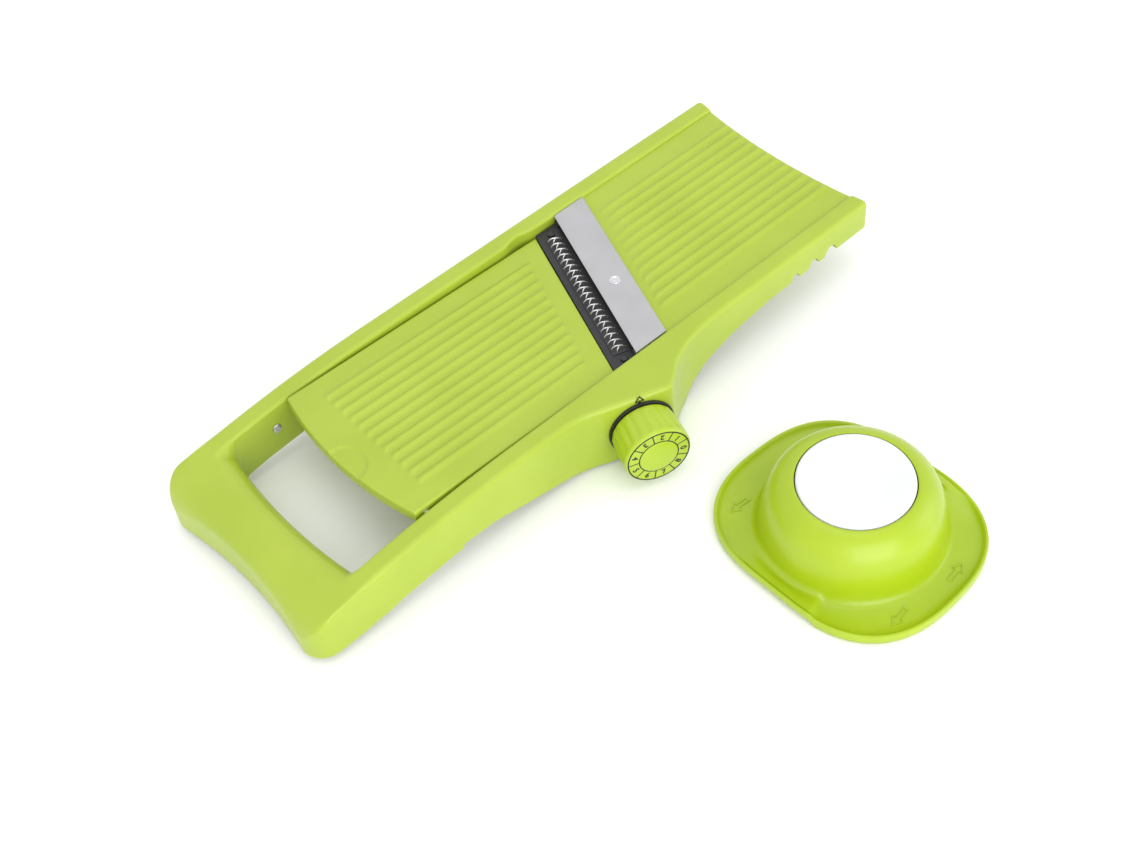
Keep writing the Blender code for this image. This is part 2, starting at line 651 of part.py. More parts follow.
def build_dial(dial, lime, black, steel):
    """Everything that turns with the knob, drawn about the shaft's axis."""
    base = HIP_FACE - 2.1
    outward = (math.pi / 2, 0.0, 0.0)
    knob = solid("knob", fluted_knob_mesh(), lime, dial, (0.0, base, 0.0), outward)
    pocket = rod_mesh(DIAL_RING_OUT + 0.3, KNOB_LENGTH - 1.0, KNOB_LENGTH + 5.0, 48)
    cut(knob, pocket, dial, (0.0, base, 0.0), outward)
    cut(knob, rod_mesh(SHAFT_R + GAP, -5.0, 10.0, 20), dial, (0.0, base, 0.0), outward)
    cut(knob, rod_mesh(1.5, 5.0, KNOB_LENGTH + 5.0, 16), dial, (0.0, base, 0.0), outward)
    cut(knob, rod_mesh(3.4, KNOB_LENGTH - 4.0, KNOB_LENGTH + 5.0, 20), dial, (0.0, base, 0.0), outward)
    shell_low = rod_mesh(14.4, -1.0, 9.0, 32, 6.4)
    cut(knob, shell_low, dial, (0.0, base, 0.0), outward)

    ring = rod_mesh(DIAL_RING_OUT, KNOB_LENGTH - 0.7, KNOB_LENGTH + 0.05, 48, DIAL_RING_IN)
    dial_ring = solid("dial_scale_ring", ring, lime, dial, (0.0, base, 0.0), outward)
    profile = [(KNOB_CAP_R, KNOB_LENGTH - 0.7), (KNOB_CAP_R, KNOB_LENGTH + 0.3), (KNOB_CAP_R - 0.6, KNOB_LENGTH + 0.6)]
    cap = solid("knob_centre_cap", turned_mesh(profile, 40), lime, dial, (0.0, base, 0.0), outward)
    head = KNOB_LENGTH - 3.7
    screw_profile = [(1.2, 4.4), (1.2, head), (3.0, head), (3.0, head + 1.9), (2.4, head + 2.3)]
    screw = solid("knob_screw", turned_mesh(screw_profile, 20), steel, dial, (0.0, base, 0.0), outward)

    shaft_low = base - 9.6
    neck = SHAFT_R - 0.6
    length = [(SHAFT_R, shaft_low), (SHAFT_R, 58.5), (neck, 58.5), (neck, 59.4), (SHAFT_R, 59.4), (SHAFT_R, 60.5)]
    shaft = solid("camshaft", along_y(turned_mesh(length, 20)), steel, dial)
    cut(shaft, along_y(rod_mesh(1.5, shaft_low - 2.0, shaft_low + 6.0, 16)), dial)

    outline = []
    for step in range(48):
        angle = TURN * step / 48
        radius = 8.0 + 0.6 * math.cos(12 * angle)
        outline.append((radius * math.cos(angle), radius * math.sin(angle)))
    wheel = side_prism_mesh(outline, -68.5, -65.5)
    detent = solid("detent_wheel", wheel, black, dial)
    cut(detent, along_y(rod_mesh(SHAFT_R + GAP, -75.0, -60.0, 20)), dial)

    clip = along_y(rod_mesh(5.0, 58.65, 59.25, 24, SHAFT_R - 0.3))
    ring_clip = solid("shaft_clip", clip, steel, dial)
    cut(ring_clip, box_mesh((-1.4, 50.0, -12.0), (1.4, 70.0, -1.0)), dial)
    for obj in (knob, dial_ring, cap, screw, shaft, detent, ring_clip):
        shade_round(obj)


def build_shaft_supports(skew_frame, black, steel):
    """Bushes, the index plate behind the knob and the click spring."""
    near = rod_mesh(4.9, HIP_FACE - 0.3, HIP_FACE + 3.6, 24, SHAFT_R + GAP)
    bush_near = solid("bush_near", along_y(near), black, skew_frame, (0.0, 0.0, SHAFT_Z))
    wall_low = along_at(0.0, DECK_HALF)
    far = rod_mesh(4.9, wall_low - 0.4, wall_low + 3.4, 24, SHAFT_R + GAP)
    bush_far = solid("bush_far", along_y(far), black, skew_frame, (0.0, 0.0, SHAFT_Z))

    plate = along_y(rod_mesh(16.9, HIP_FACE - 1.7, HIP_FACE - GAP, 48, 6.0))
    index = solid("index_plate", plate, black, skew_frame, (0.0, 0.0, SHAFT_Z))
    pointer = [(-1.5, 15.0), (1.5, 15.0), (0.0, 18.9)]
    join(index, side_prism_mesh(pointer, HIP_FACE - 1.7, HIP_FACE - GAP), skew_frame, (0.0, 0.0, SHAFT_Z))

    strip = [(-9.0, 0.0), (-2.0, 0.0), (0.0, -0.9), (2.0, 0.0), (8.6, 0.0)]
    strip += [(x, z + 0.5) for x, z in reversed(strip)]
    spring = side_prism_mesh(strip, -69.5, -64.5)
    leaf = solid("detent_spring", spring, steel, skew_frame, (0.0, 0.0, SHAFT_Z + 10.0))
    for obj in (bush_near, bush_far, index, leaf):
        shade_round(obj)


def build_wall_fittings(origin, steel):
    """The two pins that the ramp tilts on, and a rivet through each inner wall."""
    for name, side in (("wall_rivet_near", -1), ("wall_rivet_far", 1)):
        profile = [(1.2, -3.2), (1.2, 0.3), (2.6, 0.3), (2.4, 0.8), (1.4, 1.2)]
        turned = turned_mesh(profile, 16)
        bmesh.ops.rotate(turned, verts=turned.verts, matrix=Matrix.Rotation(side * math.pi / 2, 3, "X"))
        rivet = solid(name, turned, steel, origin, (WALL_RIVET_X, side * DECK_HALF, WALL_RIVET_Z))
        shade_round(rivet)
    for name, side in (("ramp_pin_near", -1), ("ramp_pin_far", 1)):
        middle = side * (DECK_HALF - 1.1)
        pin = solid(name, along_y(rod_mesh(PIVOT_R, -4.2, 4.2, 16)), steel, origin, (PIVOT_X, middle, PIVOT_Z))
        shade_round(pin)


def build_housing_cover(origin, lime, steel):
    """The plate that closes the dial housing from below, with its screws."""
    inner = RAIL_SKIN + GAP
    path = [point for point in inset_path(near_side(), inner) if -98.0 < point[0] < -40.0]
    low_y = -(DECK_HALF + WALL + GAP)
    outline = path + [(path[-1][0], low_y), (path[0][0], low_y)]
    cover = solid("housing_cover", prism_mesh(outline, HIP_BOTTOM, HIP_BOTTOM + 2.0), lime, origin)
    for name, place in zip(("cover_screw_front", "cover_screw_rear"), COVER_SCREWS):
        cut(cover, rod_mesh(3.1, -2.0, HIP_BOTTOM + 1.0, 16), origin, place)
        cut(cover, rod_mesh(1.6, -2.0, 10.0, 16), origin, place)
        profile = [(2.8, HIP_BOTTOM - 0.3), (2.8, HIP_BOTTOM + 0.7), (1.2, HIP_BOTTOM + 0.7), (1.2, 13.0)]
        shade_round(solid(name, turned_mesh(profile, 16), steel, origin, place))


def build_feet(origin, rubber):
    """Four soft pads that the slicer stands on."""
    pads = (
        ("foot_handle_near", (-250.0, -57.0), (-232.0, -43.0), HANDLE_BOTTOM - GAP + 0.3),
        ("foot_handle_far", (-250.0, 43.0), (-232.0, 57.0), HANDLE_BOTTOM - GAP + 0.3),
        ("foot_housing", (-84.0, -66.0), (-68.0, -56.0), HIP_BOTTOM - GAP),
        ("foot_rail_far", (-84.0, DECK_HALF + 0.3), (-60.0, RAIL_HALF - 0.6), HIP_BOTTOM - GAP),
    )
    for name, low, high, top in pads:
        bm = box_mesh((low[0], low[1], 0.0), (high[0], high[1], top - GAP))
        upright = [edge for edge in bm.edges if abs(edge.verts[0].co.z - edge.verts[1].co.z) > 0.1]
        bmesh.ops.bevel(bm, geom=upright, offset=2.5, segments=3, profile=0.5, affect="EDGES")
        solid(name, bm, rubber, origin)


def brim_radius(angle):
    """Radius of the guard's brim: round towards +Y and -Y, drawn in towards +X and -X."""
    power = 2.6
    across = abs(math.cos(angle) / BRIM_SIDES) ** power
    along = abs(math.sin(angle) / BRIM_ENDS) ** power
    waist = 1.0 - 0.02 * math.cos(angle) ** 8
    return waist * (across + along) ** (-1.0 / power)


def guard_shell_mesh():
    """The guard's brim and dome as one turned skin; the brim rises towards +X and -X."""
    steps = 64
    brim = [(0.955, 0.0, 2.0), (0.99, 0.6, 3.0), (1.0, 1.8, 3.4), (0.998, 5.4, 3.4), (0.98, 6.0, 3.4), (0.955, 3.6, 5.0)]
    skin = [(47.6, 3.0, 2.6), (44.6, 4.4, 1.6), (43.3, 8.2, 0.0), (42.2, 14.0, 0.0), (40.2, 20.0, 0.0)]
    skin += [(37.0, 26.0, 0.0), (33.2, 31.2, 0.0), (29.6, 34.9, 0.0), (27.9, 36.0, 0.0)]
    skin += [(27.9, 32.4, 0.0), (31.2, 29.2, 0.0), (34.8, 24.4, 0.0), (37.8, 18.8, 0.0), (39.7, 13.2, 0.0)]
    skin += [(40.7, 8.0, 0.0), (41.4, 3.6, 0.0), (45.6, 1.0, 1.6)]
    bm = bmesh.new()
    rings = []
    for number, (size, height, raised) in enumerate(brim + skin):
        ring = []
        for step in range(steps):
            angle = TURN * step / steps
            radius = size * brim_radius(angle) if number < len(brim) else size
            lifted = height + raised * math.cos(angle) ** 4
            ring.append(bm.verts.new((radius * math.cos(angle), radius * math.sin(angle), lifted)))
        rings.append(ring)
    for index in range(len(rings)):
        lower = rings[index]
        upper = rings[(index + 1) % len(rings)]
        for step in range(steps):
            after = (step + 1) % steps
            bm.faces.new((lower[step], lower[after], upper[after], upper[step]))
    return bm


def helix_points(radius, low, high, turns, per_turn):
    """Points of a coil that ends with flat turns."""
    count = int(turns * per_turn)
    points = []
    for step in range(count + 1):
        angle = TURN * step / per_turn
        share = min(max((step / per_turn - 0.8) / (turns - 1.6), 0.0), 1.0)
        points.append((radius * math.cos(angle), radius * math.sin(angle), low + (high - low) * share))
    return points


def build_guard(guard, plunger, lime, white, black, steel):
    """The hand guard: shell, spring seat, and the plunger with its spikes."""
    shell = solid("guard_shell", guard_shell_mesh(), lime, guard)
    seat_profile = [(34.2, 24.0), (32.8, 26.0), (9.5, 26.0), (9.5, 31.0)]
    seat = solid("spring_seat", turned_mesh(seat_profile, 32, [(6.4, 24.0), (6.4, 31.0)]), lime, guard)
    for number in range(6):
        slot = box_mesh((14.5, -5.0, 20.0), (29.0, 5.0, 30.0))
        cut(seat, slot, guard, (0.0, 0.0, 0.0), (0.0, 0.0, TURN * number / 6))
    for obj in (shell, seat):
        shade_round(obj)

    skin = 2.0
    outside = [(CAP_R - 0.3, 26.6), (CAP_R, 27.2), (CAP_R, GUARD_TOP - 1.0), (CAP_R - 1.0, GUARD_TOP - 0.1)]
    outside += [(20.0, GUARD_TOP - 0.5), (12.0, GUARD_TOP - 1.1), (0.9, GUARD_TOP - 1.4)]
    under = [(CAP_R - skin, 26.6), (CAP_R - skin, GUARD_TOP - 3.4), (12.0, GUARD_TOP - 3.6), (0.9, GUARD_TOP - 3.8)]
    bm = turned_mesh(outside, 48, under)
    cap = solid("plunger_cap", bm, white, plunger)
    join(cap, rod_mesh(1.6, GUARD_TOP - 3.9, GUARD_TOP - 1.45, 12), plunger)
    tube = solid("plunger_stem", rod_mesh(6.0, 6.8, GUARD_TOP - 4.1, 24, 1.6), white, plunger)
    plate = solid("spike_plate", rod_mesh(22.0, 5.6, 6.5, 32, 2.6), steel, plunger)
    for ring, count in ((19.0, 6), (10.5, 3)):
        for number in range(count):
            angle = TURN * (number + 0.5) / count
            spike = turned_mesh([(0.15, 0.8), (1.1, 3.2), (1.1, 6.0)], 8)
            join(plate, spike, plunger, (ring * math.cos(angle), ring * math.sin(angle), 0.0))
    profile = [(3.6, 3.8), (4.0, 4.4), (4.0, 5.3), (1.3, 5.3), (1.3, 18.0)]
    screw = solid("stem_screw", turned_mesh(profile, 16), steel, plunger)
    for obj in (cap, tube, plate, screw):
        shade_round(obj)

    path = bpy.data.curves.new("plunger_spring", "CURVE")
    path.dimensions = "3D"
    path.bevel_depth = 0.7 * MM
    path.bevel_resolution = 1
    path.use_fill_caps = True
    points = helix_points(11.6, 7.5, 23.0, 4.5, 14)
    line = path.splines.new("POLY")
    line.points.add(len(points) - 1)
    for point, place in zip(line.points, points):
        point.co = (*(value * MM for value in place), 1.0)
    spring = bpy.data.objects.new("plunger_spring", path)
    spring.parent = guard
    path.materials.append(steel)
    bpy.context.collection.objects.link(spring)


def main():
    """Build the slicer and its guard."""
    clear_scene()
    lime = material("lime_plastic", (0.46, 0.62, 0.07), 0.42)
    black = material("black_plastic", (0.025, 0.025, 0.03), 0.5)
    white = material("white_plastic", (0.86, 0.87, 0.90), 0.18)
    steel = material("steel", (0.72, 0.72, 0.73), 0.28, 1.0)
    rubber = material("rubber", (0.04, 0.04, 0.04), 0.8)

    origin = empty("slicer_origin", (SLICER_X, SLICER_Y, 0.0))
    skew_frame = empty("blade_axes", (SHAFT_X, 0.0, 0.0), -SKEW, origin)
    dial = empty("dial_axis", (0.0, 0.0, SHAFT_Z), 0.0, skew_frame)
    comb = empty("comb_axis", (COMB_AXIS, 0.0, COMB_TOP), 0.0, skew_frame)
    pivot = empty("ramp_axis", (PIVOT_X, 0.0, PIVOT_Z), 0.0, origin)
    guard = empty("guard_axis", (GUARD_X, GUARD_Y, 0.0), 0.0, origin)
    plunger = empty("plunger_axis", (0.0, 0.0, 0.0), 0.0, guard)

    frame = build_frame(origin, skew_frame, lime)
    sink_handle(frame)
    finish_frame(frame, origin, skew_frame)
    build_ramp(pivot, skew_frame, lime)
    build_cams(dial, black)
    build_blade(skew_frame, steel)
    build_comb(comb, black, steel)
    build_dial(dial, lime, black, steel)
    build_shaft_supports(skew_frame, black, steel)
    build_wall_fittings(origin, steel)
    build_housing_cover(origin, lime, steel)
    build_feet(origin, rubber)
    build_guard(guard, plunger, lime, white, black, steel)


main()
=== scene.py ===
"""Finished look of the mandoline slicer and its hand guard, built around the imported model.

Shapes are drawn in millimetres on the slicer's own axes: +X runs to the far end, +Y across,
+Z up. The blade, the comb and the dial lie on a second set of axes that turns with the blade.
"""

import logging
import math
from dataclasses import dataclass, field
from enum import Enum

import bmesh
import bpy
from mathutils import Matrix, Vector, geometry


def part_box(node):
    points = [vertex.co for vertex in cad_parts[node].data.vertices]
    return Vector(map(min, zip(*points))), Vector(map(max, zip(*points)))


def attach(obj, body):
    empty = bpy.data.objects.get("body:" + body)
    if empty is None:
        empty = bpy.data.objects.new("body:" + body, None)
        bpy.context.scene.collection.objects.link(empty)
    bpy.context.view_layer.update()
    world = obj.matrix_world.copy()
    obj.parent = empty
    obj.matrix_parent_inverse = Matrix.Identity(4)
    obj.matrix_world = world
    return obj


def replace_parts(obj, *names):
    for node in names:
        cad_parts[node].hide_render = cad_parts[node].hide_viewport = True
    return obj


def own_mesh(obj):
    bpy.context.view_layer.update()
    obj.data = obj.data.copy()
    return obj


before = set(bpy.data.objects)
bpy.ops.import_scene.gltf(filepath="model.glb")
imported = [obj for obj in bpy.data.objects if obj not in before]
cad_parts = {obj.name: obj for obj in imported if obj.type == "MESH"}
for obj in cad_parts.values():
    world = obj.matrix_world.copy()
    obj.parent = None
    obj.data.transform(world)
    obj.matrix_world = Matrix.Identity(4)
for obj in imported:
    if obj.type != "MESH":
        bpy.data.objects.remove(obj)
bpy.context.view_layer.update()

LOG = logging.getLogger("slicer")
MM = 0.001
TURN = 2.0 * math.pi
EVEN = (1.0, 1.0, 1.0)
COIL_STEPS = 28
WIRE_SIDES = 10

Point = tuple[float, float, float]
Flat = tuple[float, float]
Rows = list[list[Point]]
Colour = tuple[float, float, float]
Station = tuple[Flat, Flat, float]
Verts = list[bmesh.types.BMVert]


class Slot(Enum):
    """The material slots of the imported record."""

    LIME = "lime_plastic"
    BLACK = "black_plastic"
    WHITE = "white_plastic"
    STEEL = "steel"
    RUBBER = "rubber"


def smooth_step(value: float) -> float:
    """Ease from 0 to 1 as the value goes from 0 to 1."""
    held = min(max(value, 0.0), 1.0)
    return held * held * (3.0 - 2.0 * held)


def spread(start: float, end: float, count: int) -> list[float]:
    """Evenly spaced values from start to end, both included."""
    return [start + (end - start) * step / count for step in range(count + 1)]


def quarter(steps: int) -> list[float]:
    """Shares from 0 to 1 that lie closest together near 0, for rounding an edge."""
    return [1.0 - math.cos(math.pi / 2 * step / steps) for step in range(steps + 1)]


def round_drop(distance: float, width: float, depth: float) -> float:
    """How far an edge with a round of some width and depth has sunk at a distance inside it."""
    if distance >= width:
        return 0.0
    share = min((width - distance) / width, 1.0)
    return depth * (1.0 - math.sqrt(max(1.0 - share * share, 0.0)))


def circle(radius: float, height: float, steps: int) -> list[Point]:
    """Points round the Z axis."""
    angles = [TURN * step / steps for step in range(steps)]
    return [(radius * math.cos(angle), radius * math.sin(angle), height) for angle in angles]


def put(node: bpy.types.Node, **values: object) -> None:
    """Set inputs of a shader node by name, with _ for each space."""
    for name, value in values.items():
        node.inputs[name.replace("_", " ")].default_value = value


@dataclass(frozen=True)
class BladeAxes:
    """The skewed axes of the blade: along the shaft, and across it towards the far end."""

    shaft_x: float = -50.3
    shaft_z: float = 20.5
    skew: float = math.radians(20.3)

    def place(self, across: float, along: float) -> Flat:
        """Slicer X and Y of a point given on the skewed axes."""
        x = self.shaft_x + across * math.cos(self.skew) + along * math.sin(self.skew)
        return x, -across * math.sin(self.skew) + along * math.cos(self.skew)

    def along_at(self, across: float, y: float) -> float:
        """The place along the blade where a skewed line meets a slicer Y."""
        return (y + across * math.sin(self.skew)) / math.cos(self.skew)

    def x_at(self, across: float, y: float) -> float:
        """Slicer X of a line parallel to the blade, at a slicer Y."""
        return self.place(across, self.along_at(across, y))[0]

    def matrix(self, z: float = 0.0) -> Matrix:
        """Turn and move a mesh from the skewed axes to the slicer's."""
        return Matrix.Translation((self.shaft_x, 0.0, z)) @ Matrix.Rotation(-self.skew, 4, "Z")


@dataclass(frozen=True)
class Layout:
    """Where the slicer stands in the whole part, and the guard beside the slicer."""

    slicer: Point = (83.5, 87.5, 0.0)
    guard: Point = (-41.2, -175.5, 0.0)

    def guard_matrix(self) -> Matrix:
        """Move a mesh from the guard's axes to the slicer's."""
        return Matrix.Translation(self.guard)


LAYOUT = Layout()
AXES = BladeAxes()


class Nodes:
    """A material being put together from shader nodes."""

    def __init__(self, name: str) -> None:
        """Open a material with a plain Principled shader."""
        self.material = bpy.data.materials.new(name)
        self.material.use_nodes = True
        self.tree = self.material.node_tree
        self.shader = self.tree.nodes["Principled BSDF"]

    def add(self, kind: str, **values: object) -> bpy.types.Node:
        """Add a node and set its inputs."""
        made = self.tree.nodes.new(kind)
        put(made, **values)
        return made

    def join(self, before: bpy.types.Node, out: str, after: bpy.types.Node, into: str) -> None:
        """Link one node's output to another's input."""
        self.tree.links.new(before.outputs[out], after.inputs[into])

    def noise(
        self, stretch: Point, scale: float, detail: float, turn: float = 0.0
    ) -> bpy.types.Node:
        """Noise in the piece's own space, stretched on each axis and turned about Z for a grain."""
        place = self.add("ShaderNodeTexCoord")
        turned = self.add("ShaderNodeMapping", Rotation=(0.0, 0.0, turn))
        sized = self.add("ShaderNodeMapping", Scale=stretch)
        made = self.add("ShaderNodeTexNoise", Scale=scale, Detail=detail)
        self.join(place, "Object", turned, "Vector")
        self.join(turned, "Vector", sized, "Vector")
        self.join(sized, "Vector", made, "Vector")
        return made

    def tint(
        self, noise: bpy.types.Node, dark: Colour, light: Colour, low: float, high: float
    ) -> None:
        """Colour the piece between two tones as the noise goes from low to high."""
        ramp = self.add("ShaderNodeValToRGB")
        for stop, place, colour in zip(ramp.color_ramp.elements, (low, high), (dark, light)):
            stop.position = place
            stop.color = (*colour, 1.0)
        self.join(noise, "Fac", ramp, "Fac")
        self.join(ramp, "Color", self.shader, "Base Color")

    def gloss(self, noise: bpy.types.Node, low: float, high: float) -> None:
        """Let the roughness wander between two values."""
        made = self.add("ShaderNodeMapRange", From_Min=0.3, From_Max=0.7, To_Min=low, To_Max=high)
        self.join(noise, "Fac", made, "Value")
        self.join(made, "Result", self.shader, "Roughness")

    def grain(self, noise: bpy.types.Node, depth: float, strength: float) -> None:
        """Raise a fine grain on the surface, with its depth in metres."""
        made = self.add("ShaderNodeBump", Strength=strength, Distance=depth)
        self.join(noise, "Fac", made, "Height")
        self.join(made, "Normal", self.shader, "Normal")


@dataclass(frozen=True)
class Moulding:
    """A moulded plastic or rubber: soft mottling, a fine grain and a gloss that wanders."""

    name: str
    slot: Slot
    dark: Colour
    light: Colour
    roughness: float
    wander: float = 0.05
    mottle: float = 26.0
    grain: float = 1400.0
    depth: float = 0.00002
    coat: float = 0.0
    see_into: float = 0.0

    def make(self) -> bpy.types.Material:
        """Build the finish."""
        made = Nodes(self.name)
        low, high = self.roughness - self.wander, self.roughness + self.wander
        made.tint(made.noise(EVEN, self.mottle, 5.0), self.dark, self.light, 0.36, 0.64)
        made.gloss(made.noise(EVEN, self.mottle * 9.0, 3.0), low, high)
        made.grain(made.noise(EVEN, self.grain, 2.0), self.depth, 0.35)
        put(made.shader, Coat_Weight=self.coat, Coat_Roughness=0.22)
        put(made.shader, Subsurface_Weight=self.see_into, Subsurface_Scale=0.003)
        put(made.shader, Subsurface_Radius=(0.8, 1.0, 0.25))
        return made.material


@dataclass(frozen=True)
class Brushed:
    """A metal with fine lines drawn along one direction."""

    name: str
    slot: Slot
    dark: Colour
    light: Colour
    roughness: float
    turn: float = 0.0
    stretch: Point = (1.0, 0.02, 1.0)
    lines: float = 2600.0
    metallic: float = 1.0

    def make(self) -> bpy.types.Material:
        """Build the finish."""
        made = Nodes(self.name)
        lines = made.noise(self.stretch, self.lines, 3.0, self.turn)
        made.tint(made.noise(EVEN, 60.0, 4.0), self.dark, self.light, 0.3, 0.7)
        made.gloss(lines, self.roughness - 0.06, self.roughness + 0.08)
        made.grain(lines, 0.000012, 0.25)
        put(made.shader, Metallic=self.metallic)
        return made.material


@dataclass
class Finishes:
    """Every finish on the slicer and the guard."""

    made: dict[str, bpy.types.Material] = field(default_factory=dict)
    slots: dict[str, Slot] = field(default_factory=dict)

    def build(self) -> None:
        """Make each finish once."""
        skew = AXES.skew
        rows: tuple[Moulding | Brushed, ...] = (
            Moulding(
                "lime_satin", Slot.LIME, (0.322, 0.424, 0.026), (0.350, 0.452, 0.034), 0.36,
                coat=0.12, see_into=0.1,
            ),
            Moulding(
                "lime_knob", Slot.LIME, (0.345, 0.470, 0.017), (0.372, 0.500, 0.024), 0.34,
                coat=0.12, see_into=0.12,
            ),
            Moulding(
                "lime_guard", Slot.LIME, (0.312, 0.436, 0.0025), (0.340, 0.464, 0.005), 0.36,
                coat=0.18, see_into=0.1,
            ),
            Moulding(
                "white_gloss", Slot.WHITE, (0.66, 0.67, 0.71), (0.69, 0.70, 0.74), 0.2, coat=0.4,
            ),
            Moulding("black_satin", Slot.BLACK, (0.010, 0.010, 0.012), (0.018, 0.018, 0.021), 0.45),
            Moulding("dial_print", Slot.BLACK, (0.006, 0.007, 0.004), (0.014, 0.015, 0.010), 0.5),
            Moulding(
                "foot_rubber", Slot.RUBBER, (0.030, 0.030, 0.030), (0.050, 0.050, 0.048), 0.8,
                depth=0.00006,
            ),
            Brushed(
                "blade_steel", Slot.STEEL, (0.44, 0.44, 0.45), (0.48, 0.48, 0.49), 0.42, skew,
                metallic=0.75,
            ),
            Brushed("comb_steel", Slot.STEEL, (0.62, 0.62, 0.63), (0.70, 0.70, 0.71), 0.26, skew),
            Brushed(
                "turned_steel", Slot.STEEL, (0.58, 0.58, 0.60), (0.68, 0.68, 0.70), 0.28, 0.0,
                (1.0, 1.0, 0.1), 1800.0,
            ),
        )
        for row in rows:
            self.made[row.name] = row.make()
            self.slots[row.name] = row.slot

    def dress(self, finish: str, *nodes: str) -> None:
        """Give carried-over CAD nodes one of the finishes."""
        for node in nodes:
            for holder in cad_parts[node].material_slots:
                holder.material = self.made[finish]


@dataclass
class Draft:
    """A mesh being drawn in millimetres, before it becomes a piece."""

    bm: bmesh.types.BMesh = field(default_factory=bmesh.new)

    def rows(self, rows: Rows, loop_rows: bool = False, loop_columns: bool = False) -> list[Verts]:
        """Skin equally long rows of points, joining the last row or each row's end to its start."""
        made = [self.ring(row) for row in rows]
        self.skin(made, loop_rows, loop_columns)
        return made

    def capped(self, rings: Rows) -> None:
        """Skin closed rings of points and cap both ends."""
        made = self.rows(rings, False, True)
        self.bm.faces.new(made[0])
        self.bm.faces.new(made[-1])

    def skin(self, made: list[Verts], loop_rows: bool, loop_columns: bool) -> None:
        """Lay quads between rows of vertices."""
        count, across = len(made), len(made[0])
        for index in range(count if loop_rows else count - 1):
            one, two = made[index], made[(index + 1) % count]
            for step in range(across if loop_columns else across - 1):
                after = (step + 1) % across
                self.bm.faces.new((one[step], one[after], two[after], two[step]))

    def border(self, made: list[Verts]) -> Verts:
        """The vertices round the edge of a grid, in order."""
        ring = list(made[0]) + [row[-1] for row in made[1:-1]]
        return ring + list(reversed(made[-1])) + [row[0] for row in reversed(made[1:-1])]

    def ring(self, points: list[Point]) -> Verts:
        """New vertices for a loop that is skinned later."""
        return [self.bm.verts.new(point) for point in points]

    def turned(self, profile: list[Flat], steps: int, closed: bool = True) -> None:
        """Turn (radius, height) points about Z: into a hollow body, or one capped at both ends."""
        rings = [circle(radius, height, steps) for radius, height in profile]
        if closed:
            self.rows(rings, True, True)
        else:
            self.capped(rings)

    def block(self, low: Point, high: Point, soften: float = 0.0) -> None:
        """A block with its edges softened."""
        made = bmesh.ops.create_cube(self.bm, size=1.0)["verts"]
        for vert in made:
            vert.co = Vector([low[i] + (vert.co[i] + 0.5) * (high[i] - low[i]) for i in range(3)])
        if soften:
            edges = list({edge for vert in made for edge in vert.link_edges})
            bmesh.ops.bevel(
                self.bm, geom=edges, offset=soften, segments=3, profile=0.5, affect="EDGES"
            )

    def tube(self, path: list[Point], radii: list[float], sides: int = 8) -> None:
        """A round tapering rod along a path, closed at both ends."""
        rings: Rows = []
        for index, point in enumerate(path):
            before, after = path[max(index - 1, 0)], path[min(index + 1, len(path) - 1)]
            ahead = (Vector(after) - Vector(before)).normalized()
            side = ahead.cross(Vector((0.0, 1.0, 0.0)))
            side = side.normalized() if side.length > 1e-6 else Vector((1.0, 0.0, 0.0))
            other = ahead.cross(side)
            ring = []
            for step in range(sides):
                angle = TURN * step / sides
                out = side * math.cos(angle) + other * math.sin(angle)
                spot = Vector(point) + out * radii[index]
                ring.append((spot.x, spot.y, spot.z))
            rings.append(ring)
        self.capped(rings)

    def take(self, part: "Draft") -> None:
        """Move another draft's mesh into this one."""
        held = bpy.data.meshes.new("held")
        part.bm.to_mesh(held)
        part.bm.free()
        self.bm.from_mesh(held)
        bpy.data.meshes.remove(held)

    def move(self, matrix: Matrix) -> None:
        """Move everything drawn so far."""
        bmesh.ops.transform(self.bm, matrix=matrix, verts=self.bm.verts)

    def piece(
        self, name: str, finish: str, finishes: Finishes, body: str, angle: float = 32.0
    ) -> bpy.types.Object:
        """Turn the draft into a named piece in one finish that rides on a CAD body.

        Edges sharper than the angle, in degrees, stay crisp.
        """
        bmesh.ops.remove_doubles(self.bm, verts=self.bm.verts, dist=1e-4)
        bmesh.ops.recalc_face_normals(self.bm, faces=self.bm.faces)
        self.move(Matrix.Scale(MM, 4) @ Matrix.Translation(LAYOUT.slicer))
        mesh = bpy.data.meshes.new(name)
        self.bm.to_mesh(mesh)
        self.bm.free()
        mesh.materials.append(finishes.made[finish])
        mesh.shade_smooth()
        mesh.set_sharp_from_angle(angle=math.radians(angle))
        made = bpy.data.objects.new(name, mesh)
        bpy.context.collection.objects.link(made)
        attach(made, body)
        LOG.info("%s: %d faces on %s", name, len(mesh.polygons), body)
        return made


def curve_points(start: Flat, pull: Flat, pull_end: Flat, end: Flat, count: int) -> list[Flat]:
    """Points on a cubic curve in the plane."""
    corners = [Vector((x, y, 0.0)) for x, y in (start, pull, pull_end, end)]
    return [(point.x, point.y) for point in geometry.interpolate_bezier(*corners, count)]


def read_line(points: list[Flat], x: float) -> float:
    """Height of a polyline at an x, held level beyond its ends."""
    if x <= points[0][0]:
        return points[0][1]
    for before, after in zip(points, points[1:]):
        if before[0] <= x <= after[0] and after[0] > before[0]:
            share = (x - before[0]) / (after[0] - before[0])
            return before[1] + (after[1] - before[1]) * share
    return points[-1][1]


